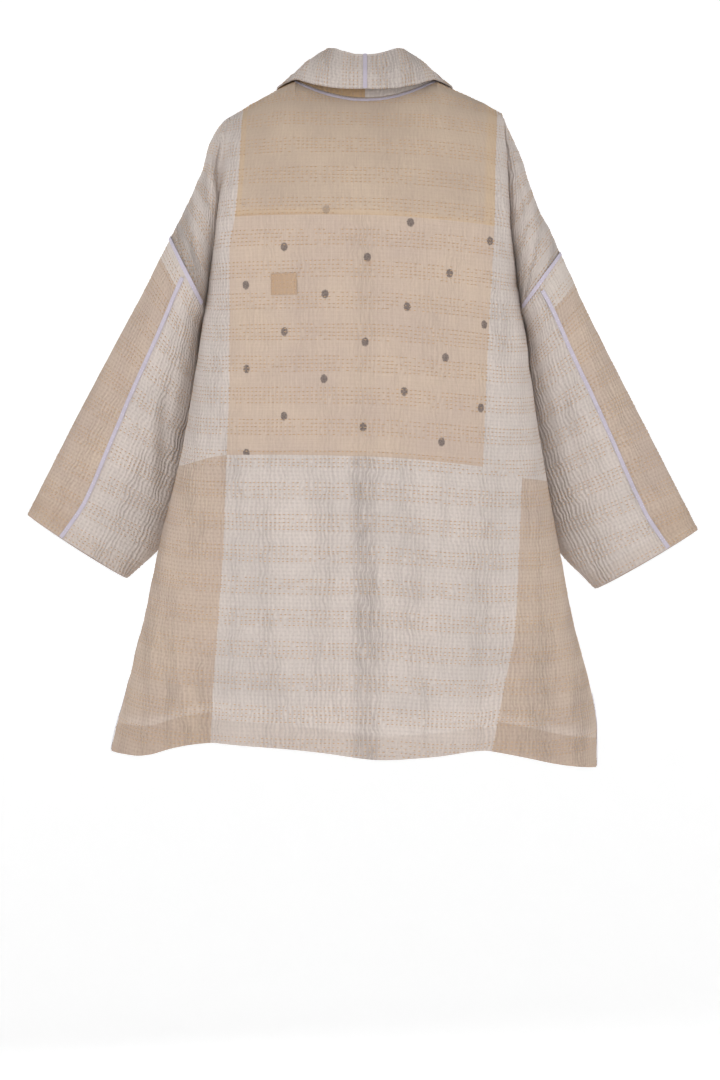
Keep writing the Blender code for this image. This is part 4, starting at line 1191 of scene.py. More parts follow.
def weave(tree, flat):
    """Slubby threads both ways, from 0 to 1; drawn coarser than the real 0.5 mm."""
    sizes = ((1 / SLUB_LENGTH, 1 / THREAD, 1.0), (1 / THREAD, 1 / SLUB_LENGTH, 1.0))
    threads = []
    for size in sizes:
        stretched = add(tree, "ShaderNodeMapping", {"Vector": flat, "Scale": size})
        threads.append(add(
            tree, "ShaderNodeTexNoise",
            {"Vector": stretched, "Scale": 1.0, "Detail": 2.0, "Roughness": 0.6},
        ))
    across = add(tree, "ShaderNodeMath", (threads[0], 0.6, 0.2), operation="MULTIPLY_ADD")
    return add(tree, "ShaderNodeMath", (across, threads[1]), operation="ADD")


def ripples(tree, flat, u, centre=0.0):
    """Upright pucker ripples between the stitch rows, swaying and uneven."""
    sway = add(tree, "ShaderNodeTexNoise", {"Vector": flat, "Scale": 34.0, "Detail": 1.0})
    sway = add(tree, "ShaderNodeMath", (sway, 0.5), operation="SUBTRACT")
    sway = add(tree, "ShaderNodeMath", (sway, RIPPLE_PITCH * 2.2, u), operation="MULTIPLY_ADD")
    fine = add(tree, "ShaderNodeTexNoise", {"Vector": flat, "Scale": 95.0, "Detail": 1.0})
    fine = add(tree, "ShaderNodeMath", (fine, 0.5), operation="SUBTRACT")
    sway = add(tree, "ShaderNodeMath", (fine, RIPPLE_PITCH * 0.7, sway), operation="MULTIPLY_ADD")
    turn = add(tree, "ShaderNodeMath", (sway, 2 * math.pi / RIPPLE_PITCH), operation="MULTIPLY")
    wave = add(tree, "ShaderNodeMath", (turn,), operation="SINE")
    bands = add(tree, "ShaderNodeMapping", {"Vector": flat, "Scale": (26.0, 5.0, 1.0)})
    strength = add(tree, "ShaderNodeTexNoise", {"Vector": bands, "Scale": 1.0, "Detail": 2.0})
    strength = add(
        tree, "ShaderNodeMapRange", (strength, 0.38, 0.66, 0.26, 1.0), interpolation_type="SMOOTHSTEP"
    )
    if centre:
        away = add(tree, "ShaderNodeMath", (u,), operation="ABSOLUTE")
        line = add(
            tree, "ShaderNodeMapRange", (away, 0.006, 0.026, centre, 0.0), interpolation_type="SMOOTHSTEP"
        )
        strength = add(tree, "ShaderNodeMath", (strength, line), operation="ADD")
    return add(tree, "ShaderNodeMath", (wave, strength), operation="MULTIPLY")


def tone_rows(tree, u, v):
    """Dimples of the fine tone-on-tone stitches, 1 on a stitch and 0 beside it."""
    across = add(tree, "ShaderNodeMath", (v, 1 / TONE_ROW_PITCH), operation="MULTIPLY")
    row = add(tree, "ShaderNodeMath", (across,), operation="FLOOR")
    inside = add(tree, "ShaderNodeMath", (across,), operation="FRACT")
    inside = add(tree, "ShaderNodeMath", (inside, 0.5), operation="SUBTRACT")
    inside = add(tree, "ShaderNodeMath", (inside,), operation="ABSOLUTE")
    line = add(tree, "ShaderNodeMapRange", (inside, 0.10, 0.30, 1.0, 0.0), interpolation_type="SMOOTHSTEP")
    shift = add(tree, "ShaderNodeTexWhiteNoise", {"W": row}, noise_dimensions="1D")
    along = add(tree, "ShaderNodeMath", (u, 1 / DASH_PITCH, shift), operation="MULTIPLY_ADD")
    along = add(tree, "ShaderNodeMath", (along,), operation="FRACT")
    along = add(tree, "ShaderNodeMath", (along, 0.5), operation="SUBTRACT")
    along = add(tree, "ShaderNodeMath", (along,), operation="ABSOLUTE")
    dash = add(tree, "ShaderNodeMapRange", (along, 0.26, 0.38, 1.0, 0.0), interpolation_type="SMOOTHSTEP")
    return add(tree, "ShaderNodeMath", (line, dash), operation="MULTIPLY")


def dots(tree, flat, u, v, start=DOT_START):
    """Half-drop repeat of small printed spots, worn and a little broken."""
    rough = add(tree, "ShaderNodeTexNoise", {"Vector": flat, "Scale": 420.0, "Detail": 2.0})
    lean = add(tree, "ShaderNodeMath", (v, DOT_LEAN_V), operation="SUBTRACT")
    aside = add(tree, "ShaderNodeMath", (u, DOT_LEAN_U), operation="SUBTRACT")
    lean = add(tree, "ShaderNodeMath", (lean, aside), operation="MULTIPLY")
    u = add(tree, "ShaderNodeMath", (lean, DOT_LEAN, u), operation="MULTIPLY_ADD")
    u = add(tree, "ShaderNodeMath", (u, start[0]), operation="SUBTRACT")
    place = add(tree, "ShaderNodeMath", (u, 1 / DOT_COLUMN), operation="MULTIPLY")
    column = add(tree, "ShaderNodeMath", (place,), operation="ROUND")
    aside = add(tree, "ShaderNodeMath", (place, column), operation="SUBTRACT")
    aside = add(tree, "ShaderNodeMath", (aside, DOT_COLUMN * 1.16), operation="MULTIPLY")
    odd = add(tree, "ShaderNodeMath", (column, 2.0), operation="FLOORED_MODULO")
    drop = add(tree, "ShaderNodeMath", (odd, DOT_DROP / 2, start[1]), operation="MULTIPLY_ADD")
    drop = add(tree, "ShaderNodeMath", (column, -DOT_SKEW, drop), operation="MULTIPLY_ADD")
    low = add(tree, "ShaderNodeMath", (v, drop), operation="SUBTRACT")
    low = add(tree, "ShaderNodeMath", (low, 1 / DOT_DROP), operation="MULTIPLY")
    near = add(tree, "ShaderNodeMath", (low,), operation="ROUND")
    low = add(tree, "ShaderNodeMath", (low, near), operation="SUBTRACT")
    low = add(tree, "ShaderNodeMath", (low, DOT_DROP * 0.94), operation="MULTIPLY")
    away = add(tree, "ShaderNodeCombineXYZ", (aside, low, 0.0))
    away = add(tree, "ShaderNodeVectorMath", (away,), out=1, operation="LENGTH")
    away = add(tree, "ShaderNodeMath", (rough, DOT_RADIUS * 0.55, away), operation="MULTIPLY_ADD")
    edges = (away, DOT_RADIUS * 1.10, DOT_RADIUS * 1.42, 0.88, 0.0)
    spot = add(tree, "ShaderNodeMapRange", edges, interpolation_type="SMOOTHSTEP")
    petals = add(tree, "ShaderNodeTexVoronoi", {"Vector": flat, "Scale": 330.0}, feature="DISTANCE_TO_EDGE")
    gaps = add(tree, "ShaderNodeMapRange", (petals, 0.02, 0.12, 0.74, 1.0))
    return add(tree, "ShaderNodeMath", (spot, gaps), operation="MULTIPLY")


def quilt_material(name, base, shade, warm, look):
    """Quilted cotton in one patch's colours; look holds what sets the patch apart."""
    material, tree, shader = new_material(name, base, 0.92, 0.18, 0.05)
    flat, u, v = cloth_coordinates(tree)
    brown = linear("#a9886c")
    blotch = add(tree, "ShaderNodeTexNoise", {"Vector": flat, "Scale": 9.0, "Detail": 3.0})
    blotch = add(tree, "ShaderNodeMapRange", (blotch, 0.35, 0.72, 0.0, 0.55))
    colour = add(tree, "ShaderNodeMix", {0: blotch, 6: base, 7: warm}, out=2, data_type="RGBA")
    threads = weave(tree, flat)
    slub = add(tree, "ShaderNodeMapRange", (threads, 0.72, 1.30, 0.0, 0.34))
    colour = add(tree, "ShaderNodeMix", {0: slub, 6: colour, 7: shade}, out=2, data_type="RGBA")
    edge = add(tree, "ShaderNodeUVMap", uv_map="edge")
    aside = add(tree, "ShaderNodeSeparateXYZ", (edge,))
    below = aside.node.outputs[1]
    if "lopsided" in look:
        half = add(tree, "ShaderNodeMapRange", (u, -0.01, 0.01, look["lopsided"], 1.0))
        aside = add(tree, "ShaderNodeMath", (aside, half), operation="MULTIPLY")
        drop = add(tree, "ShaderNodeMapRange", (u, -0.18, 0.12, 0.006, 0.0))
        below = add(tree, "ShaderNodeMath", (below, drop), operation="ADD")
    for source, width, strength, tint in look.get("bands", ()):
        near = {"side": aside, "lower": below}[source]
        inner, outer, blur = width
        band = add(tree, "ShaderNodeMapRange", (near, outer - blur, outer + blur, strength, 0.0))
        if inner > 0:
            cut = add(tree, "ShaderNodeMapRange", (near, inner - BAND_EDGE, inner + BAND_EDGE, 0.0, 1.0))
            band = add(tree, "ShaderNodeMath", (band, cut), operation="MULTIPLY")
        colour = add(tree, "ShaderNodeMix", {0: band, 6: colour, 7: tint}, out=2, data_type="RGBA")
    ripple = ripples(tree, flat, u, look.get("centre", 0.0))
    rows = tone_rows(tree, u, v)
    # Painted shade: the ripple troughs are darkened in the colour
    trough_shade = add(tree, "ShaderNodeMapRange", (ripple, -1.0, 0.3, look.get("ripple_shade", 0.30), 0.0))
    colour = add(tree, "ShaderNodeMix", {0: trough_shade, 6: colour, 7: shade}, out=2, data_type="RGBA")
    # Painted shade in the dimples of the tone-on-tone stitches
    dimple_shade = add(tree, "ShaderNodeMath", (rows, 0.22 * look.get("rows", 1.0)), operation="MULTIPLY")
    colour = add(tree, "ShaderNodeMix", {0: dimple_shade, 6: colour, 7: shade}, out=2, data_type="RGBA")
    if "pale_top" in look:
        top = add(
            tree, "ShaderNodeMapRange", (v, look["pale_top"] - 0.001, look["pale_top"] + 0.001, 0.85, 0.0)
        )
        colour = add(tree, "ShaderNodeMix", {0: top, 6: colour, 7: look["pale"]}, out=2, data_type="RGBA")
    if "dots" in look:
        spots = dots(tree, flat, u, v)
        spots = add(tree, "ShaderNodeMath", (spots, look["dots"]), operation="MULTIPLY")
        if look["dots"] < 0.9:
            low = add(tree, "ShaderNodeMapRange", (below, 0.012, 0.020, 1.0, 0.0))
            spots = add(tree, "ShaderNodeMath", (spots, low), operation="MULTIPLY")
        ink = linear("#5f5553")
        colour = add(tree, "ShaderNodeMix", {0: spots, 6: colour, 7: ink}, out=2, data_type="RGBA")
        near = add(tree, "ShaderNodeVectorMath", (flat, STAIN_PLACE), out=1, operation="DISTANCE")
        rough = add(tree, "ShaderNodeTexNoise", {"Vector": flat, "Scale": 240.0, "Detail": 2.0})
        near = add(tree, "ShaderNodeMath", (rough, 0.006, near), operation="MULTIPLY_ADD")
        stain = add(tree, "ShaderNodeMapRange", (near, 0.004, 0.009, 0.42, 0.0))
        colour = add(tree, "ShaderNodeMix", {0: stain, 6: colour, 7: brown}, out=2, data_type="RGBA")
    tree.links.new(colour, shader.inputs["Base Color"])
    height = add(tree, "ShaderNodeMath", (ripple, RIPPLE_HEIGHT * look.get("ripple", 1.0)), operation="MULTIPLY")
    depth = -ROW_DEPTH * look.get("rows", 1.0)
    height = add(tree, "ShaderNodeMath", (rows, depth, height), operation="MULTIPLY_ADD")
    height = add(tree, "ShaderNodeMath", (threads, WEAVE_HEIGHT * 2, height), operation="MULTIPLY_ADD")
    bump = add(tree, "ShaderNodeBump", {"Strength": 1.0, "Distance": 1.0, "Height": height})
    tree.links.new(bump, shader.inputs["Normal"])
    return material


def tape_material(colour):
    """Plain-woven cotton tape: fine crosswise ribs, a touch of sheen from the thread."""
    material, tree, shader = new_material("cotton_seam_tape", colour, 0.85, 0.22, 0.15)
    flat, u, v = cloth_coordinates(tree)
    ribs = add(tree, "ShaderNodeMath", (u, 2 * math.pi / 0.0011), operation="MULTIPLY")
    ribs = add(tree, "ShaderNodeMath", (ribs,), operation="SINE")
    worn = add(tree, "ShaderNodeTexNoise", {"Vector": flat, "Scale": 60.0, "Detail": 3.0})
    amount = add(tree, "ShaderNodeMapRange", (worn, 0.35, 0.75, 0.0, 0.5))
    grey = linear("#b0a8b6")
    mixed = add(tree, "ShaderNodeMix", {0: amount, 6: colour, 7: grey}, out=2, data_type="RGBA")
    tree.links.new(mixed, shader.inputs["Base Color"])
    height = add(tree, "ShaderNodeMath", (ribs, 0.00006), operation="MULTIPLY")
    bump = add(tree, "ShaderNodeBump", {"Strength": 1.0, "Distance": 1.0, "Height": height})
    tree.links.new(bump, shader.inputs["Normal"])
    return material


def thread_material(name, colour):
    """Stranded cotton thread, twisted, slightly brighter than the cloth it lies on."""
    material, tree, shader = new_material(name, colour, 0.75, 0.3, 0.1)
    place = add(tree, "ShaderNodeTexCoord", out=3)
    twist = add(tree, "ShaderNodeTexNoise", {"Vector": place, "Scale": 300.0, "Detail": 1.0})
    amount = add(tree, "ShaderNodeMapRange", (twist, 0.35, 0.7, 0.0, 0.5))
    dark = tuple(c * 0.72 for c in colour[:3]) + (1.0,)
    mixed = add(tree, "ShaderNodeMix", {0: amount, 6: colour, 7: dark}, out=2, data_type="RGBA")
    tree.links.new(mixed, shader.inputs["Base Color"])
    return material


def stitch_tree():
    """Geometry Nodes that lay running stitches along rows of edges."""
    tree = bpy.data.node_groups.new("running_stitches", "GeometryNodeTree")
    tree.interface.new_socket("Geometry", in_out="INPUT", socket_type="NodeSocketGeometry")
    sizes = (("Pitch", 0.008), ("Length", 0.0062), ("Width", 0.0014), ("Height", 0.0011), ("Missing", 0.14))
    for name, value in sizes:
        socket = tree.interface.new_socket(name, in_out="INPUT", socket_type="NodeSocketFloat")
        socket.default_value = value
    seed = tree.interface.new_socket("Seed", in_out="INPUT", socket_type="NodeSocketInt")
    seed.default_value = 5
    tree.interface.new_socket("Thread", in_out="INPUT", socket_type="NodeSocketMaterial")
    tree.interface.new_socket("Geometry", in_out="OUTPUT", socket_type="NodeSocketGeometry")
    given = add(tree, "NodeGroupInput").node.outputs
    curve = add(tree, "GeometryNodeMeshToCurve", {"Mesh": given["Geometry"]})
    points = add(
        tree, "GeometryNodeResampleCurve", {"Curve": curve, "Length": given["Pitch"]}, mode="LENGTH"
    )
    way = add(tree, "GeometryNodeInputNamedAttribute", {"Name": "way_out"}, data_type="FLOAT_VECTOR")
    along = add(tree, "GeometryNodeInputTangent")
    turn = add(
        tree, "FunctionNodeAxesToRotation", {"Primary Axis": along, "Secondary Axis": way},
        primary_axis="Z", secondary_axis="X",
    )
    odds = add(tree, "FunctionNodeRandomValue", {2: 0.75, 3: 1.2, 8: given["Seed"]}, out=1, data_type="FLOAT")
    long = add(tree, "ShaderNodeMath", (given["Length"], odds), operation="MULTIPLY")
    size = add(tree, "ShaderNodeCombineXYZ", (given["Height"], given["Width"], long))
    gap = add(tree, "ShaderNodeMath", (1.0, given["Missing"]), operation="SUBTRACT")
    kept = add(
        tree, "FunctionNodeRandomValue", {6: gap, 8: given["Seed"]}, out=3, data_type="BOOLEAN"
    )
    stitch = add(tree, "GeometryNodeMeshUVSphere", {"Segments": 4, "Rings": 2, "Radius": 0.5})
    laid = add(
        tree, "GeometryNodeInstanceOnPoints",
        {"Points": points, "Selection": kept, "Instance": stitch, "Rotation": turn, "Scale": size},
    )
    solid = add(tree, "GeometryNodeRealizeInstances", {"Geometry": laid})
    smooth = add(tree, "GeometryNodeSetShadeSmooth", {"Geometry": solid})
    coloured = add(tree, "GeometryNodeSetMaterial", {"Geometry": smooth, "Material": given["Thread"]})
    add(tree, "NodeGroupOutput", {"Geometry": coloured})
    return tree


def lay_stitches(name, lines, values):
    """Plain mesh of the stitches along lines of (place, way out)."""
    points, edges, ways = [], [], []
    for line in lines:
        start = len(points)
        points += [place for place, _ in line]
        ways += [way for _, way in line]
        edges += [(start + k, start + k + 1) for k in range(len(line) - 1)]
    mesh = bpy.data.meshes.new(name + "_rows")
    mesh.from_pydata([tuple(p) for p in points], edges, [])
    layer = mesh.attributes.new("way_out", "FLOAT_VECTOR", "POINT")
    layer.data.foreach_set("vector", np.array([tuple(w) for w in ways], dtype=float).ravel())
    rows = bpy.data.objects.new(name + "_rows", mesh)
    bpy.context.collection.objects.link(rows)
    tree = bpy.data.node_groups.get("running_stitches") or stitch_tree()
    modifier = rows.modifiers.new("stitches", "NODES")
    modifier.node_group = tree
    for socket in tree.interface.items_tree:
        if socket.in_out == "INPUT" and socket.name in values:
            modifier[socket.identifier] = values[socket.name]
    bpy.context.view_layer.update()
    made = rows.evaluated_get(bpy.context.evaluated_depsgraph_get())
    result = bpy.data.meshes.new_from_object(made)
    rows.modifiers.remove(modifier)
    bpy.data.objects.remove(rows)
    result.name = name
    item = bpy.data.objects.new(name, result)
    bpy.context.collection.objects.link(item)
    return item


# Stronger rows come in groups: their places within each repeat down the cloth
GROUP_ROWS = (0.0104, 0.0155, 0.0205, 0.0256, 0.0306)
STITCH_SINK = -0.00010


def stitch_lines(blocks, seed, groups=GROUP_ROWS):
    """Rows of stitches over a piece, wavering as hand sewing does."""
    lines = []
    for part in blocks:
        place, way = part["place"], part["way"]
        u, v = part["flat"][..., 0], part["flat"][..., 1]
        steps = np.arange(len(v))
        first = math.floor(v.min() / QUILT_PERIOD)
        last = math.ceil(v.max() / QUILT_PERIOD)
        for group in range(first, last + 1):
            for k, offset in enumerate(groups):
                line = []
                for i in range(place.shape[1]):
                    waver = noise.noise(Vector((u[0, i] * 14, group * 3.1 + k, seed))) * 0.0016
                    at = group * QUILT_PERIOD + offset + waver
                    if not v[0, i] + 0.002 < at < v[-1, i] - 0.002:
                        if len(line) > 2:
                            lines.append(line)
                        line = []
                        continue
                    j = float(np.interp(at, v[:, i], steps))
                    j0 = min(int(j), len(v) - 2)
                    share = j - j0
                    point = place[j0, i] * (1 - share) + place[j0 + 1, i] * share
                    out = way[j0, i] * (1 - share) + way[j0 + 1, i] * share
                    line.append((point - out * STITCH_SINK, out))
                if len(line) > 2:
                    lines.append(line)
    return lines


def turned(part):
    """The same cloth with its two flat directions exchanged, the second one counted up."""
    return {**part, "flat": np.abs(part["flat"][..., ::-1])}


def find_on(grid, x, z):
    """Fractional row and column of a grid where it has this x and z."""
    rows = np.arange(grid.place.shape[0])
    columns = np.arange(grid.place.shape[1])
    at_x = [np.interp(x * grid.side, line[:, 0] * grid.side, columns) for line in grid.place]
    heights = [np.interp(c, columns, line[:, 2]) for c, line in zip(at_x, grid.place)]
    row = np.interp(-z, -np.array(heights), rows)
    return float(row), float(np.interp(row, rows, at_x))


# Seam tapes: ribbons a little proud of the quilting, and where each one starts and ends
TAPE_WIDTH = 0.0056
VENT_TAPE_WIDTH = 0.0030
TAPE_LIFT = 0.0006
NECK_TAPE_ROW = 0.035
SLEEVE_TAPE_START = 0.024
VENT_TOP_STEP = 15


def armhole_path(grids, side):
    grid = grids["sleeve", side, 1]
    return [surface_at(grid, 0, c) for c in np.linspace(0.6, ARM_COLUMNS * REFINE * 0.80, 60)]


def sleeve_path(grids, side):
    grid = grids["sleeve", side, 1]
    last = grid.place.shape[0] - 1
    return [surface_at(grid, r, TAPE_LINE) for r in np.linspace(SLEEVE_TAPE_START * last, last * 0.9985, 120)]


def neck_path(grids):
    row = NECK_TAPE_ROW * YOKE_END
    most = NECK_COLUMNS * REFINE * 78 / 90
    path = []
    for column in np.linspace(-most, most, 90):
        path.append(surface_at(grids["torso", 1 if column > 0 else -1, 1], row, abs(column)))
    return path


def collar_path(halves):
    grid = halves[1]
    first = (STAND_STEPS + ROLL_STEPS // 2) * REFINE
    last = grid.place.shape[1] - 1
    return [(Vector(grid.place[0, c]), Vector(grid.way[0, c])) for c in range(first, last + 1)]


def vent_path(grids, side):
    grid = grids["torso", side, 1]
    path = []
    for row in range(WAIST_START + VENT_TOP_STEP * REFINE, grid.place.shape[0]):
        edge, inner = Vector(grid.place[row, -1]), Vector(grid.place[row, -2])
        along = (inner - edge).normalized()
        path.append((edge + along * VENT_TAPE_WIDTH * 0.6, Vector(grid.way[row, -2])))
    return path


# Darned square on the dotted panel: corners by x and z, in metres
MEND_X = (0.1275, 0.0925)
MEND_Z = (-0.2770, -0.3060)
MEND_STEPS = 12


def mend_blocks(grid):
    """The square of cloth laid on the dotted panel, with a hand-cut edge."""
    places, ways, flats = [], [], []
    for j in range(MEND_STEPS + 1):
        for i in range(MEND_STEPS + 1):
            ragged = noise.noise(Vector((i * 0.9, j * 0.9, 3.0))) * 0.0008
            x = MEND_X[0] + (MEND_X[1] - MEND_X[0]) * i / MEND_STEPS + ragged
            z = MEND_Z[0] + (MEND_Z[1] - MEND_Z[0]) * j / MEND_STEPS + ragged
            point, way = surface_at(grid, *find_on(grid, x, z))
            rim = min(i, j, MEND_STEPS - i, MEND_STEPS - j)
            places.append(point + way * (0.0012 + 0.0005 * min(rim, 2) / 2 + ragged * 0.2))
            ways.append(way)
            flats.append((x, -z))
    shape = (MEND_STEPS + 1, MEND_STEPS + 1)
    place = np.array([p[:] for p in places]).reshape(*shape, 3)
    return [{
        "place": place,
        "way": np.array([w[:] for w in ways]).reshape(*shape, 3),
        "smooth": place,
        "flat": np.array(flats).reshape(*shape, 2),
        "edge": np.ones((*shape, 2)),
        "outward": grid.outward,
    }]


def offset_lines(path, aside, lift):
    """A row of stitches along a tape, moved to one side of its middle."""
    line = []
    for k, (point, way) in enumerate(path):
        along = path[min(len(path) - 1, k + 1)][0] - path[max(0, k - 1)][0]
        line.append((point + way.cross(along).normalized() * aside + way * lift, way))
    return [line]


# Which finish each cut piece has, and the colour of its reverse
FINISHES = {
    "back_yoke": ("yoke", "reverse_cream", "tan_quilt"),
    "back_centre": ("dotted", "reverse_beige", "beige_quilt"),
    "back_lower_centre": ("cream_centre", "reverse_beige", "cream_quilt"),
    "back_lower_left": ("beige_hem", "reverse_cream", "beige_quilt"),
    "back_lower_right": ("beige_hem", "reverse_cream", "beige_quilt"),
    "back_side_left": ("cream", "reverse_beige", "cream_quilt"),
    "back_side_right": ("cream", "reverse_beige", "cream_quilt"),
    "front_upper_left": ("cream", "reverse_beige", "cream_quilt"),
    "front_upper_right": ("cream", "reverse_beige", "cream_quilt"),
    "front_lower_left": ("beige_hem", "reverse_cream", "beige_quilt"),
    "front_lower_right": ("beige_hem", "reverse_cream", "beige_quilt"),
    "sleeve_outer_left": ("sleeve", "reverse_cream", "beige_quilt"),
    "sleeve_outer_right": ("sleeve", "reverse_cream", "beige_quilt"),
    "sleeve_inner_left": ("cream_cuff", "reverse_beige", "cream_quilt"),
    "sleeve_inner_right": ("cream_cuff", "reverse_beige", "cream_quilt"),
    "collar_left": ("cream_collar", "reverse_tan", "cream_quilt"),
    "collar_right": ("cream_collar", "reverse_cream", "cream_quilt"),
}
BACK_PIECES = tuple(name for name in FINISHES if name.startswith("back"))
FRONT_PIECES = tuple(name for name in FINISHES if name.startswith("front"))
SLEEVE_PIECES = tuple(name for name in FINISHES if name.startswith("sleeve"))
_made = {}


def coat_grids():
    """The smooth and raised stretches of cloth, made once for every operator."""
    if "grids" not in _made:
        _made["grids"] = settle(make_grids())
        _made["halves"] = collar_grids()
        for (part, side, face), grid in _made["grids"].items():
            grid.turn = side * face if part == "sleeve" else side
        for side, grid in _made["halves"].items():
            grid.turn = side
        _made["blocks"] = piece_blocks(_made["grids"])
        for side in (1, -1):
            _made["blocks"]["collar_" + name_of(side)] = [block(_made["halves"][side])]
    return _made


def finishes(colours):
    """All cloth materials, made once from the colours of the panel."""
    if "finishes" in _made:
        return _made["finishes"]
    beige, cream = (*colours.beige, 1.0), (*colours.cream, 1.0)
    tan = (*colours.tan, 1.0)
    shade, warm = linear("#9c8a80"), linear("#d2bda6")
    pale, grey = linear("#dccfc6"), linear("#a89c98")
    brown, gold = linear("#a07f60"), linear("#c8a982")
    dark = linear("#ab937e")
    # Darker band along the hem; above it a pale band that is painted highlight along the ridge where the hem turns
    hem = ("lower", (0.0, 0.041, 0.0010), 0.26, dark)
    hem_ridge_highlight = ("lower", (0.041, 0.052, 0.0050), 0.26, pale)
    made = {
        "yoke": quilt_material("tan_quilted_cotton", tan, shade, warm, {
            "bands": (
                ("side", (0.0, 0.0082, 0.0014), 0.30, gold), ("lower", (0.0, 0.0090, 0.0040), 0.32, gold),
                ("lower", (0.0, 0.0030, 0.0022), 0.26, brown),
            ),
            "lopsided": 0.5, "dots": 0.45, "ripple": 0.30, "ripple_shade": 0.12, "rows": 0.35,
        }),
        "dotted": quilt_material("dotted_beige_quilted_cotton", beige, shade, warm, {
            "bands": (("lower", (0.0, 0.006, 0.0018), 0.20, dark),), "dots": 1.0, "ripple": 0.45,
            "ripple_shade": 0.16, "centre": 0.8, "rows": 0.35,
        }),
        "cream": quilt_material("cream_quilted_cotton", cream, grey, pale, {"ripple_shade": 0.42}),
        "cream_centre": quilt_material("cream_quilted_cotton_centre", cream, grey, pale, {
            "ripple_shade": 0.44, "ripple": 0.95, "centre": 1.1,
            "bands": (
                # The beige band is the hem band; the pale band above it is painted highlight along the ridge over
                # the hem
                ("lower", (0.0, 0.032, 0.0020), 0.30, beige), ("lower", (0.032, 0.060, 0.0100), 0.30, pale),
            ),
        }),
        "cream_collar": quilt_material("cream_quilted_cotton_collar", cream, grey, pale, {
            "ripple_shade": 0.56, "ripple": 1.1, "rows": 1.4,
        }),
        "cream_cuff": quilt_material("cream_quilted_cotton_cuff", cream, grey, pale, {
            "bands": (("lower", (0.0, 0.022, 0.0018), 0.12, dark),), "ripple_shade": 0.50,
        }),
        "beige_hem": quilt_material("beige_quilted_cotton", beige, shade, warm, {
            "bands": (hem, hem_ridge_highlight), "ripple": 1.25, "ripple_shade": 0.42,
        }),
        "sleeve": quilt_material("beige_quilted_cotton_sleeve", beige, shade, warm, {
            "bands": (
                ("lower", (0.0, 0.058, 0.0018), 0.14, dark), ("lower", (0.012, 0.034, 0.0018), 0.26, dark),
            ),
            "ripple": 0.8, "pale_top": SLEEVE_PALE_END, "pale": cream,
        }),
        "reverse_beige": quilt_material("beige_cotton_reverse", beige, shade, warm, {"ripple": 0.7}),
        "reverse_cream": quilt_material("cream_cotton_reverse", cream, grey, pale, {"ripple": 0.7}),
        "reverse_tan": quilt_material("tan_cotton_reverse", linear("#c2a27a"), shade, brown, {"ripple": 0.8}),
        "mend": quilt_material("tan_darned_cotton", linear("#bda287"), shade, brown, {
            "ripple": 0.3, "rows": 0.3,
        }),
        "tape": tape_material((*colours.tape, 1.0)),
        "thread": thread_material("tan_cotton_thread", (*colours.thread, 1.0)),
        "tape_thread": thread_material("white_cotton_thread", linear("#e9e6ee")),
    }
    _made["finishes"] = made
    return made


def lay_piece(name, scene):
    """One cut piece of cloth with its stitches, hung from the root."""
    coat, sizes = coat_grids(), scene.coat_sizes
    looks = finishes(scene.coat_colours)
    blocks = coat["blocks"][name]
    face, reverse, slot = FINISHES[name]
    wall = COLLAR_WALL if name.startswith("collar") else WALL
    piece = shell(name + "_cloth", blocks, wall, (looks[face], looks[reverse]))
    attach(piece, "root")
    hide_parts(name)
    sewn = [turned(part) for part in blocks] if name.startswith("collar") else blocks
    thread = lay_stitches(name + "_stitches", stitch_lines(sewn, sizes.seed), {
        "Pitch": sizes.stitch_pitch, "Length": sizes.stitch_length,
        "Seed": sizes.seed + len(coat), "Thread": looks["thread"],
    })
    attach(thread, "root")
    coat[name] = (piece, thread, flat_size(blocks))
    return piece


def lay_tape(name, path, width, scene, cloth, crown=TAPE_LIFT):
    """One seam tape with its row of pale stitches, given to the cloth under it."""
    looks = finishes(scene.coat_colours)
    band, _ = ribbon(name + "_band", path, width, looks["tape"], crown)
    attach(band, "root")
    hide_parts(name)
    rows = (0.0,) if name in ("tape_neck", "tape_collar") else (-0.30, 0.30)
    lines = []
    for share in rows:
        lines += offset_lines(path, share * width, crown + TAPE_WALL * 0.75)
    thread = lay_stitches(name + "_stitches", lines, {
        "Pitch": 0.0042, "Length": 0.0026, "Width": 0.0007, "Height": 0.0005, "Missing": 0.0,
        "Thread": looks["tape_thread"],
    })
    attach(thread, "root")
    _made.setdefault("trims", {}).setdefault(cloth, []).extend((band, thread))
    return band


def face_from(item, place, target):
    item.location = place
    item.rotation_euler = (Vector(target) - Vector(place)).to_track_quat("-Z", "Y").to_euler()


# Camera: where the photograph was taken from, level and square to the back
CAMERA_PLACE = (0.007, 3.36, -0.638)
CAMERA_LENS = 80.0
FLOOR_HEIGHT = -2.2
FLOOR_RADIUS = 5.0
COVE_RADIUS = 2.6
WALL_TOP = 5.5
LIGHTS = (
    ("key_softbox", (2.6, 2.4, 0.6), 2.0, 25.0),
    ("fill_softbox", (-2.7, 2.3, 0.1), 2.2, 21.0),
    ("back_softbox", (0.5, 4.3, 0.2), 1.8, 16.0),
    ("front_softbox", (0.9, -3.3, 0.5), 2.2, 50.0),
)


class CoatSizes(bpy.types.PropertyGroup):
    stitch_pitch: FloatProperty(
        name="Stitch pitch", description="From one running stitch to the next",
        default=0.0060, min=0.003, max=0.03, unit="LENGTH",
    )
    stitch_length: FloatProperty(
        name="Stitch length", description="Length of thread that shows in one stitch",
        default=0.0044, min=0.002, max=0.02, unit="LENGTH",
    )
    tape_width: FloatProperty(
        name="Tape width", description="Width of the seam tapes",
        default=TAPE_WIDTH, min=0.003, max=0.02, unit="LENGTH",
    )
    seed: IntProperty(
        name="Sewing seed", description="Changes how the hand stitching wanders", default=11, min=0,
    )


def colour_property(name, description, code):
    return FloatVectorProperty(
        name=name, description=description, default=linear(code, False),
        size=3, min=0.0, max=1.0, subtype="COLOR",
    )


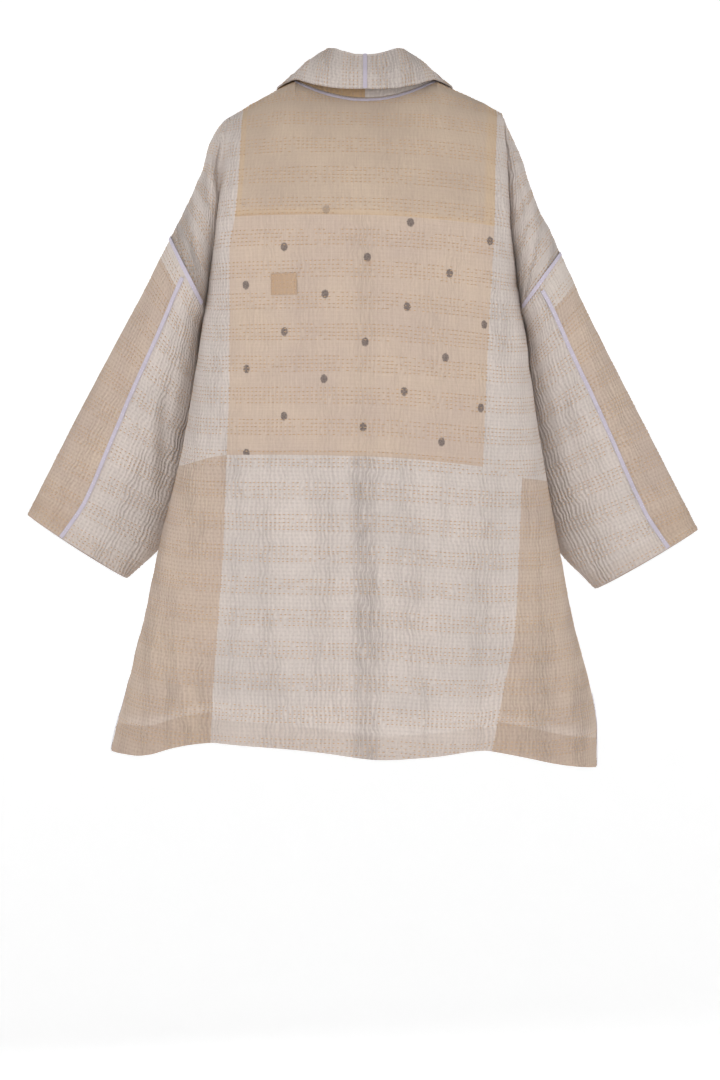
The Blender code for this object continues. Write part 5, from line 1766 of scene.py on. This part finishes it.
class CoatColours(bpy.types.PropertyGroup):
    tan: colour_property("Tan", "Quilted cotton of the yoke", "#b8a593")
    beige: colour_property("Beige", "Quilted cotton of the beige patches", "#bfac9e")
    cream: colour_property("Cream", "Quilted cotton of the cream patches", "#c8beb7")
    tape: colour_property("Tape", "Cotton tape over the seams", "#bcb4c1")
    thread: colour_property("Thread", "Thread of the stronger stitch rows", "#c29f7b")


class COAT_OT_stage(bpy.types.Operator):
    """Camera, lights, pale floor and backdrop"""

    bl_idname = "coat.stage"
    bl_label = "Stage"

    def execute(self, context):
        data = bpy.data.cameras.new("studio_camera")
        data.lens = CAMERA_LENS
        data.sensor_width = 36
        data.sensor_fit = "VERTICAL"
        data.sensor_height = 36
        camera = bpy.data.objects.new("studio_camera", data)
        context.collection.objects.link(camera)
        face_from(camera, CAMERA_PLACE, (CAMERA_PLACE[0], 0.0, CAMERA_PLACE[2]))
        context.scene.camera = camera
        for name, place, size, power in LIGHTS:
            data = bpy.data.lights.new(name, "AREA")
            data.size = size
            data.energy = power
            lamp = bpy.data.objects.new(name, data)
            lamp.visible_camera = False
            context.collection.objects.link(lamp)
            face_from(lamp, place, (0.0, 0.0, -0.55))
        world = bpy.data.worlds.new("studio_air")
        world.use_nodes = True
        world.node_tree.nodes["Background"].inputs[0].default_value = (1.0, 1.0, 1.0, 1.0)
        world.node_tree.nodes["Background"].inputs[1].default_value = 0.175
        context.scene.world = world
        context.scene.view_settings.view_transform = "Standard"
        profile = [(0.0, FLOOR_HEIGHT), (FLOOR_RADIUS, FLOOR_HEIGHT)]
        for k in range(1, 13):
            turn = math.pi / 2 * k / 12
            profile.append((
                FLOOR_RADIUS + COVE_RADIUS * math.sin(turn),
                FLOOR_HEIGHT + COVE_RADIUS * (1 - math.cos(turn)),
            ))
        profile.append((FLOOR_RADIUS + COVE_RADIUS, WALL_TOP))
        cove = bmesh.new()
        line = [cove.verts.new((radius, 0, height)) for radius, height in profile]
        edges = [cove.edges.new(pair) for pair in zip(line, line[1:])]
        bmesh.ops.spin(
            cove, geom=line + edges, cent=(0, 0, 0), axis=(0, 0, 1), angle=math.tau, steps=96,
            use_duplicate=False,
        )
        bmesh.ops.remove_doubles(cove, verts=cove.verts[:], dist=0.0001)
        bmesh.ops.recalc_face_normals(cove, faces=cove.faces[:])
        bmesh.ops.reverse_faces(cove, faces=cove.faces[:])
        mesh = bpy.data.meshes.new("studio_cove")
        cove.to_mesh(mesh)
        cove.free()
        mesh.shade_smooth()
        paper, _, shader = new_material("matt_white_paper", (0.93, 0.93, 0.93, 1.0), 0.95, 0.1, 0.0)
        shader.inputs["Emission Color"].default_value = (1.0, 1.0, 1.0, 1.0)
        shader.inputs["Emission Strength"].default_value = 0.33
        mesh.materials.append(paper)
        floor = bpy.data.objects.new("studio_cove", mesh)
        context.collection.objects.link(floor)
        return {"FINISHED"}


class COAT_OT_back(bpy.types.Operator):
    """Yoke, dotted panel and the other patches of the back"""

    bl_idname = "coat.back"
    bl_label = "Back patches"

    def execute(self, context):
        for name in BACK_PIECES:
            lay_piece(name, context.scene)
        return {"FINISHED"}


class COAT_OT_fronts(bpy.types.Operator):
    """Upper and lower patches of both fronts"""

    bl_idname = "coat.fronts"
    bl_label = "Fronts"

    def execute(self, context):
        for name in FRONT_PIECES:
            lay_piece(name, context.scene)
        return {"FINISHED"}


class COAT_OT_sleeves(bpy.types.Operator):
    """Outer and inner strips of both sleeves"""

    bl_idname = "coat.sleeves"
    bl_label = "Sleeves"

    def execute(self, context):
        for name in SLEEVE_PIECES:
            lay_piece(name, context.scene)
        return {"FINISHED"}


class COAT_OT_collar(bpy.types.Operator):
    """Standing and falling collar that runs on into the front bands"""

    bl_idname = "coat.collar"
    bl_label = "Collar"

    def execute(self, context):
        for name in ("collar_left", "collar_right"):
            lay_piece(name, context.scene)
        return {"FINISHED"}


class COAT_OT_tapes(bpy.types.Operator):
    """Pale tapes over the outer seams and along the vents"""

    bl_idname = "coat.tapes"
    bl_label = "Seam tapes"

    def execute(self, context):
        coat = coat_grids()
        grids, scene = coat["grids"], context.scene
        width = scene.coat_sizes.tape_width
        for side in (1, -1):
            name = name_of(side)
            outer = "sleeve_outer_" + name
            lay_tape("tape_armhole_" + name, armhole_path(grids, side), width, scene, outer, TAPE_LIFT * 1.5)
            lay_tape("tape_sleeve_" + name, sleeve_path(grids, side), width, scene, outer)
            lower = "back_lower_" + name
            lay_tape("tape_vent_" + name, vent_path(grids, side), VENT_TAPE_WIDTH, scene, lower)
        lay_tape("tape_neck", neck_path(grids), width, scene, "back_yoke")
        lay_tape("tape_collar", collar_path(coat["halves"]), width, scene, "collar_left", 0.0004)
        return {"FINISHED"}


class COAT_OT_mend(bpy.types.Operator):
    """Darned square on the dotted panel"""

    bl_idname = "coat.mend"
    bl_label = "Darned square"

    def execute(self, context):
        coat = coat_grids()
        looks = finishes(context.scene.coat_colours)
        blocks = mend_blocks(coat["grids"]["torso", 1, 1])
        patch = shell("mend_patch_cloth", blocks, 0.0006, (looks["mend"], looks["mend"]))
        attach(patch, "root")
        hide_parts("mend_patch")
        place, way = blocks[0]["place"], blocks[0]["way"]
        rim = [(1, k) for k in range(1, MEND_STEPS)] + [(k, MEND_STEPS - 1) for k in range(1, MEND_STEPS)]
        rim += [(MEND_STEPS - 1, MEND_STEPS - k) for k in range(1, MEND_STEPS)]
        rim += [(MEND_STEPS - k, 1) for k in range(1, MEND_STEPS)]
        line = [(place[j, i], way[j, i]) for j, i in rim]
        across = [[(place[j, i], way[j, i]) for i in range(1, MEND_STEPS)] for j in (4, 6, 8)]
        thread = lay_stitches("mend_patch_stitches", [line] + across, {
            "Pitch": 0.0045, "Length": 0.0030, "Missing": 0.0, "Thread": looks["thread"],
        })
        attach(thread, "root")
        width, length, area = flat_size(blocks)
        return {"FINISHED"}


class COAT_OT_sheets(bpy.types.Operator):
    """Makes the stretches of cloth and the blocks of every cut piece, once"""

    bl_idname = "coat.sheets"
    bl_label = "State the cuts"

    def execute(self, context):
        coat = coat_grids()
        return {"FINISHED"}


class COAT_PT_panel(bpy.types.Panel):
    """Everything that builds the coat, in order"""

    bl_idname = "COAT_PT_panel"
    bl_label = "Quilted kimono coat"
    bl_space_type = "VIEW_3D"
    bl_region_type = "UI"
    bl_category = "Coat"

    def draw(self, context):
        for group in (context.scene.coat_sizes, context.scene.coat_colours):
            for name in group.__annotations__:
                self.layout.prop(group, name)
        for operator in OPERATORS:
            self.layout.operator(operator.bl_idname)


OPERATORS = (
    COAT_OT_stage, COAT_OT_back, COAT_OT_fronts, COAT_OT_sleeves, COAT_OT_collar,
    COAT_OT_tapes, COAT_OT_mend, COAT_OT_sheets,
)
CLASSES = (CoatSizes, CoatColours, *OPERATORS, COAT_PT_panel)


def register():
    for each in CLASSES:
        bpy.utils.register_class(each)
    bpy.types.Scene.coat_sizes = PointerProperty(type=CoatSizes)
    bpy.types.Scene.coat_colours = PointerProperty(type=CoatColours)


def unregister():
    del bpy.types.Scene.coat_sizes
    del bpy.types.Scene.coat_colours
    for each in reversed(CLASSES):
        bpy.utils.unregister_class(each)


def main():
    register()
    bpy.ops.coat.stage()
    bpy.ops.coat.back()
    bpy.ops.coat.fronts()
    bpy.ops.coat.sleeves()
    bpy.ops.coat.collar()
    bpy.ops.coat.tapes()
    bpy.ops.coat.mend()
    bpy.ops.coat.sheets()


if __name__ == "__main__":
    main()
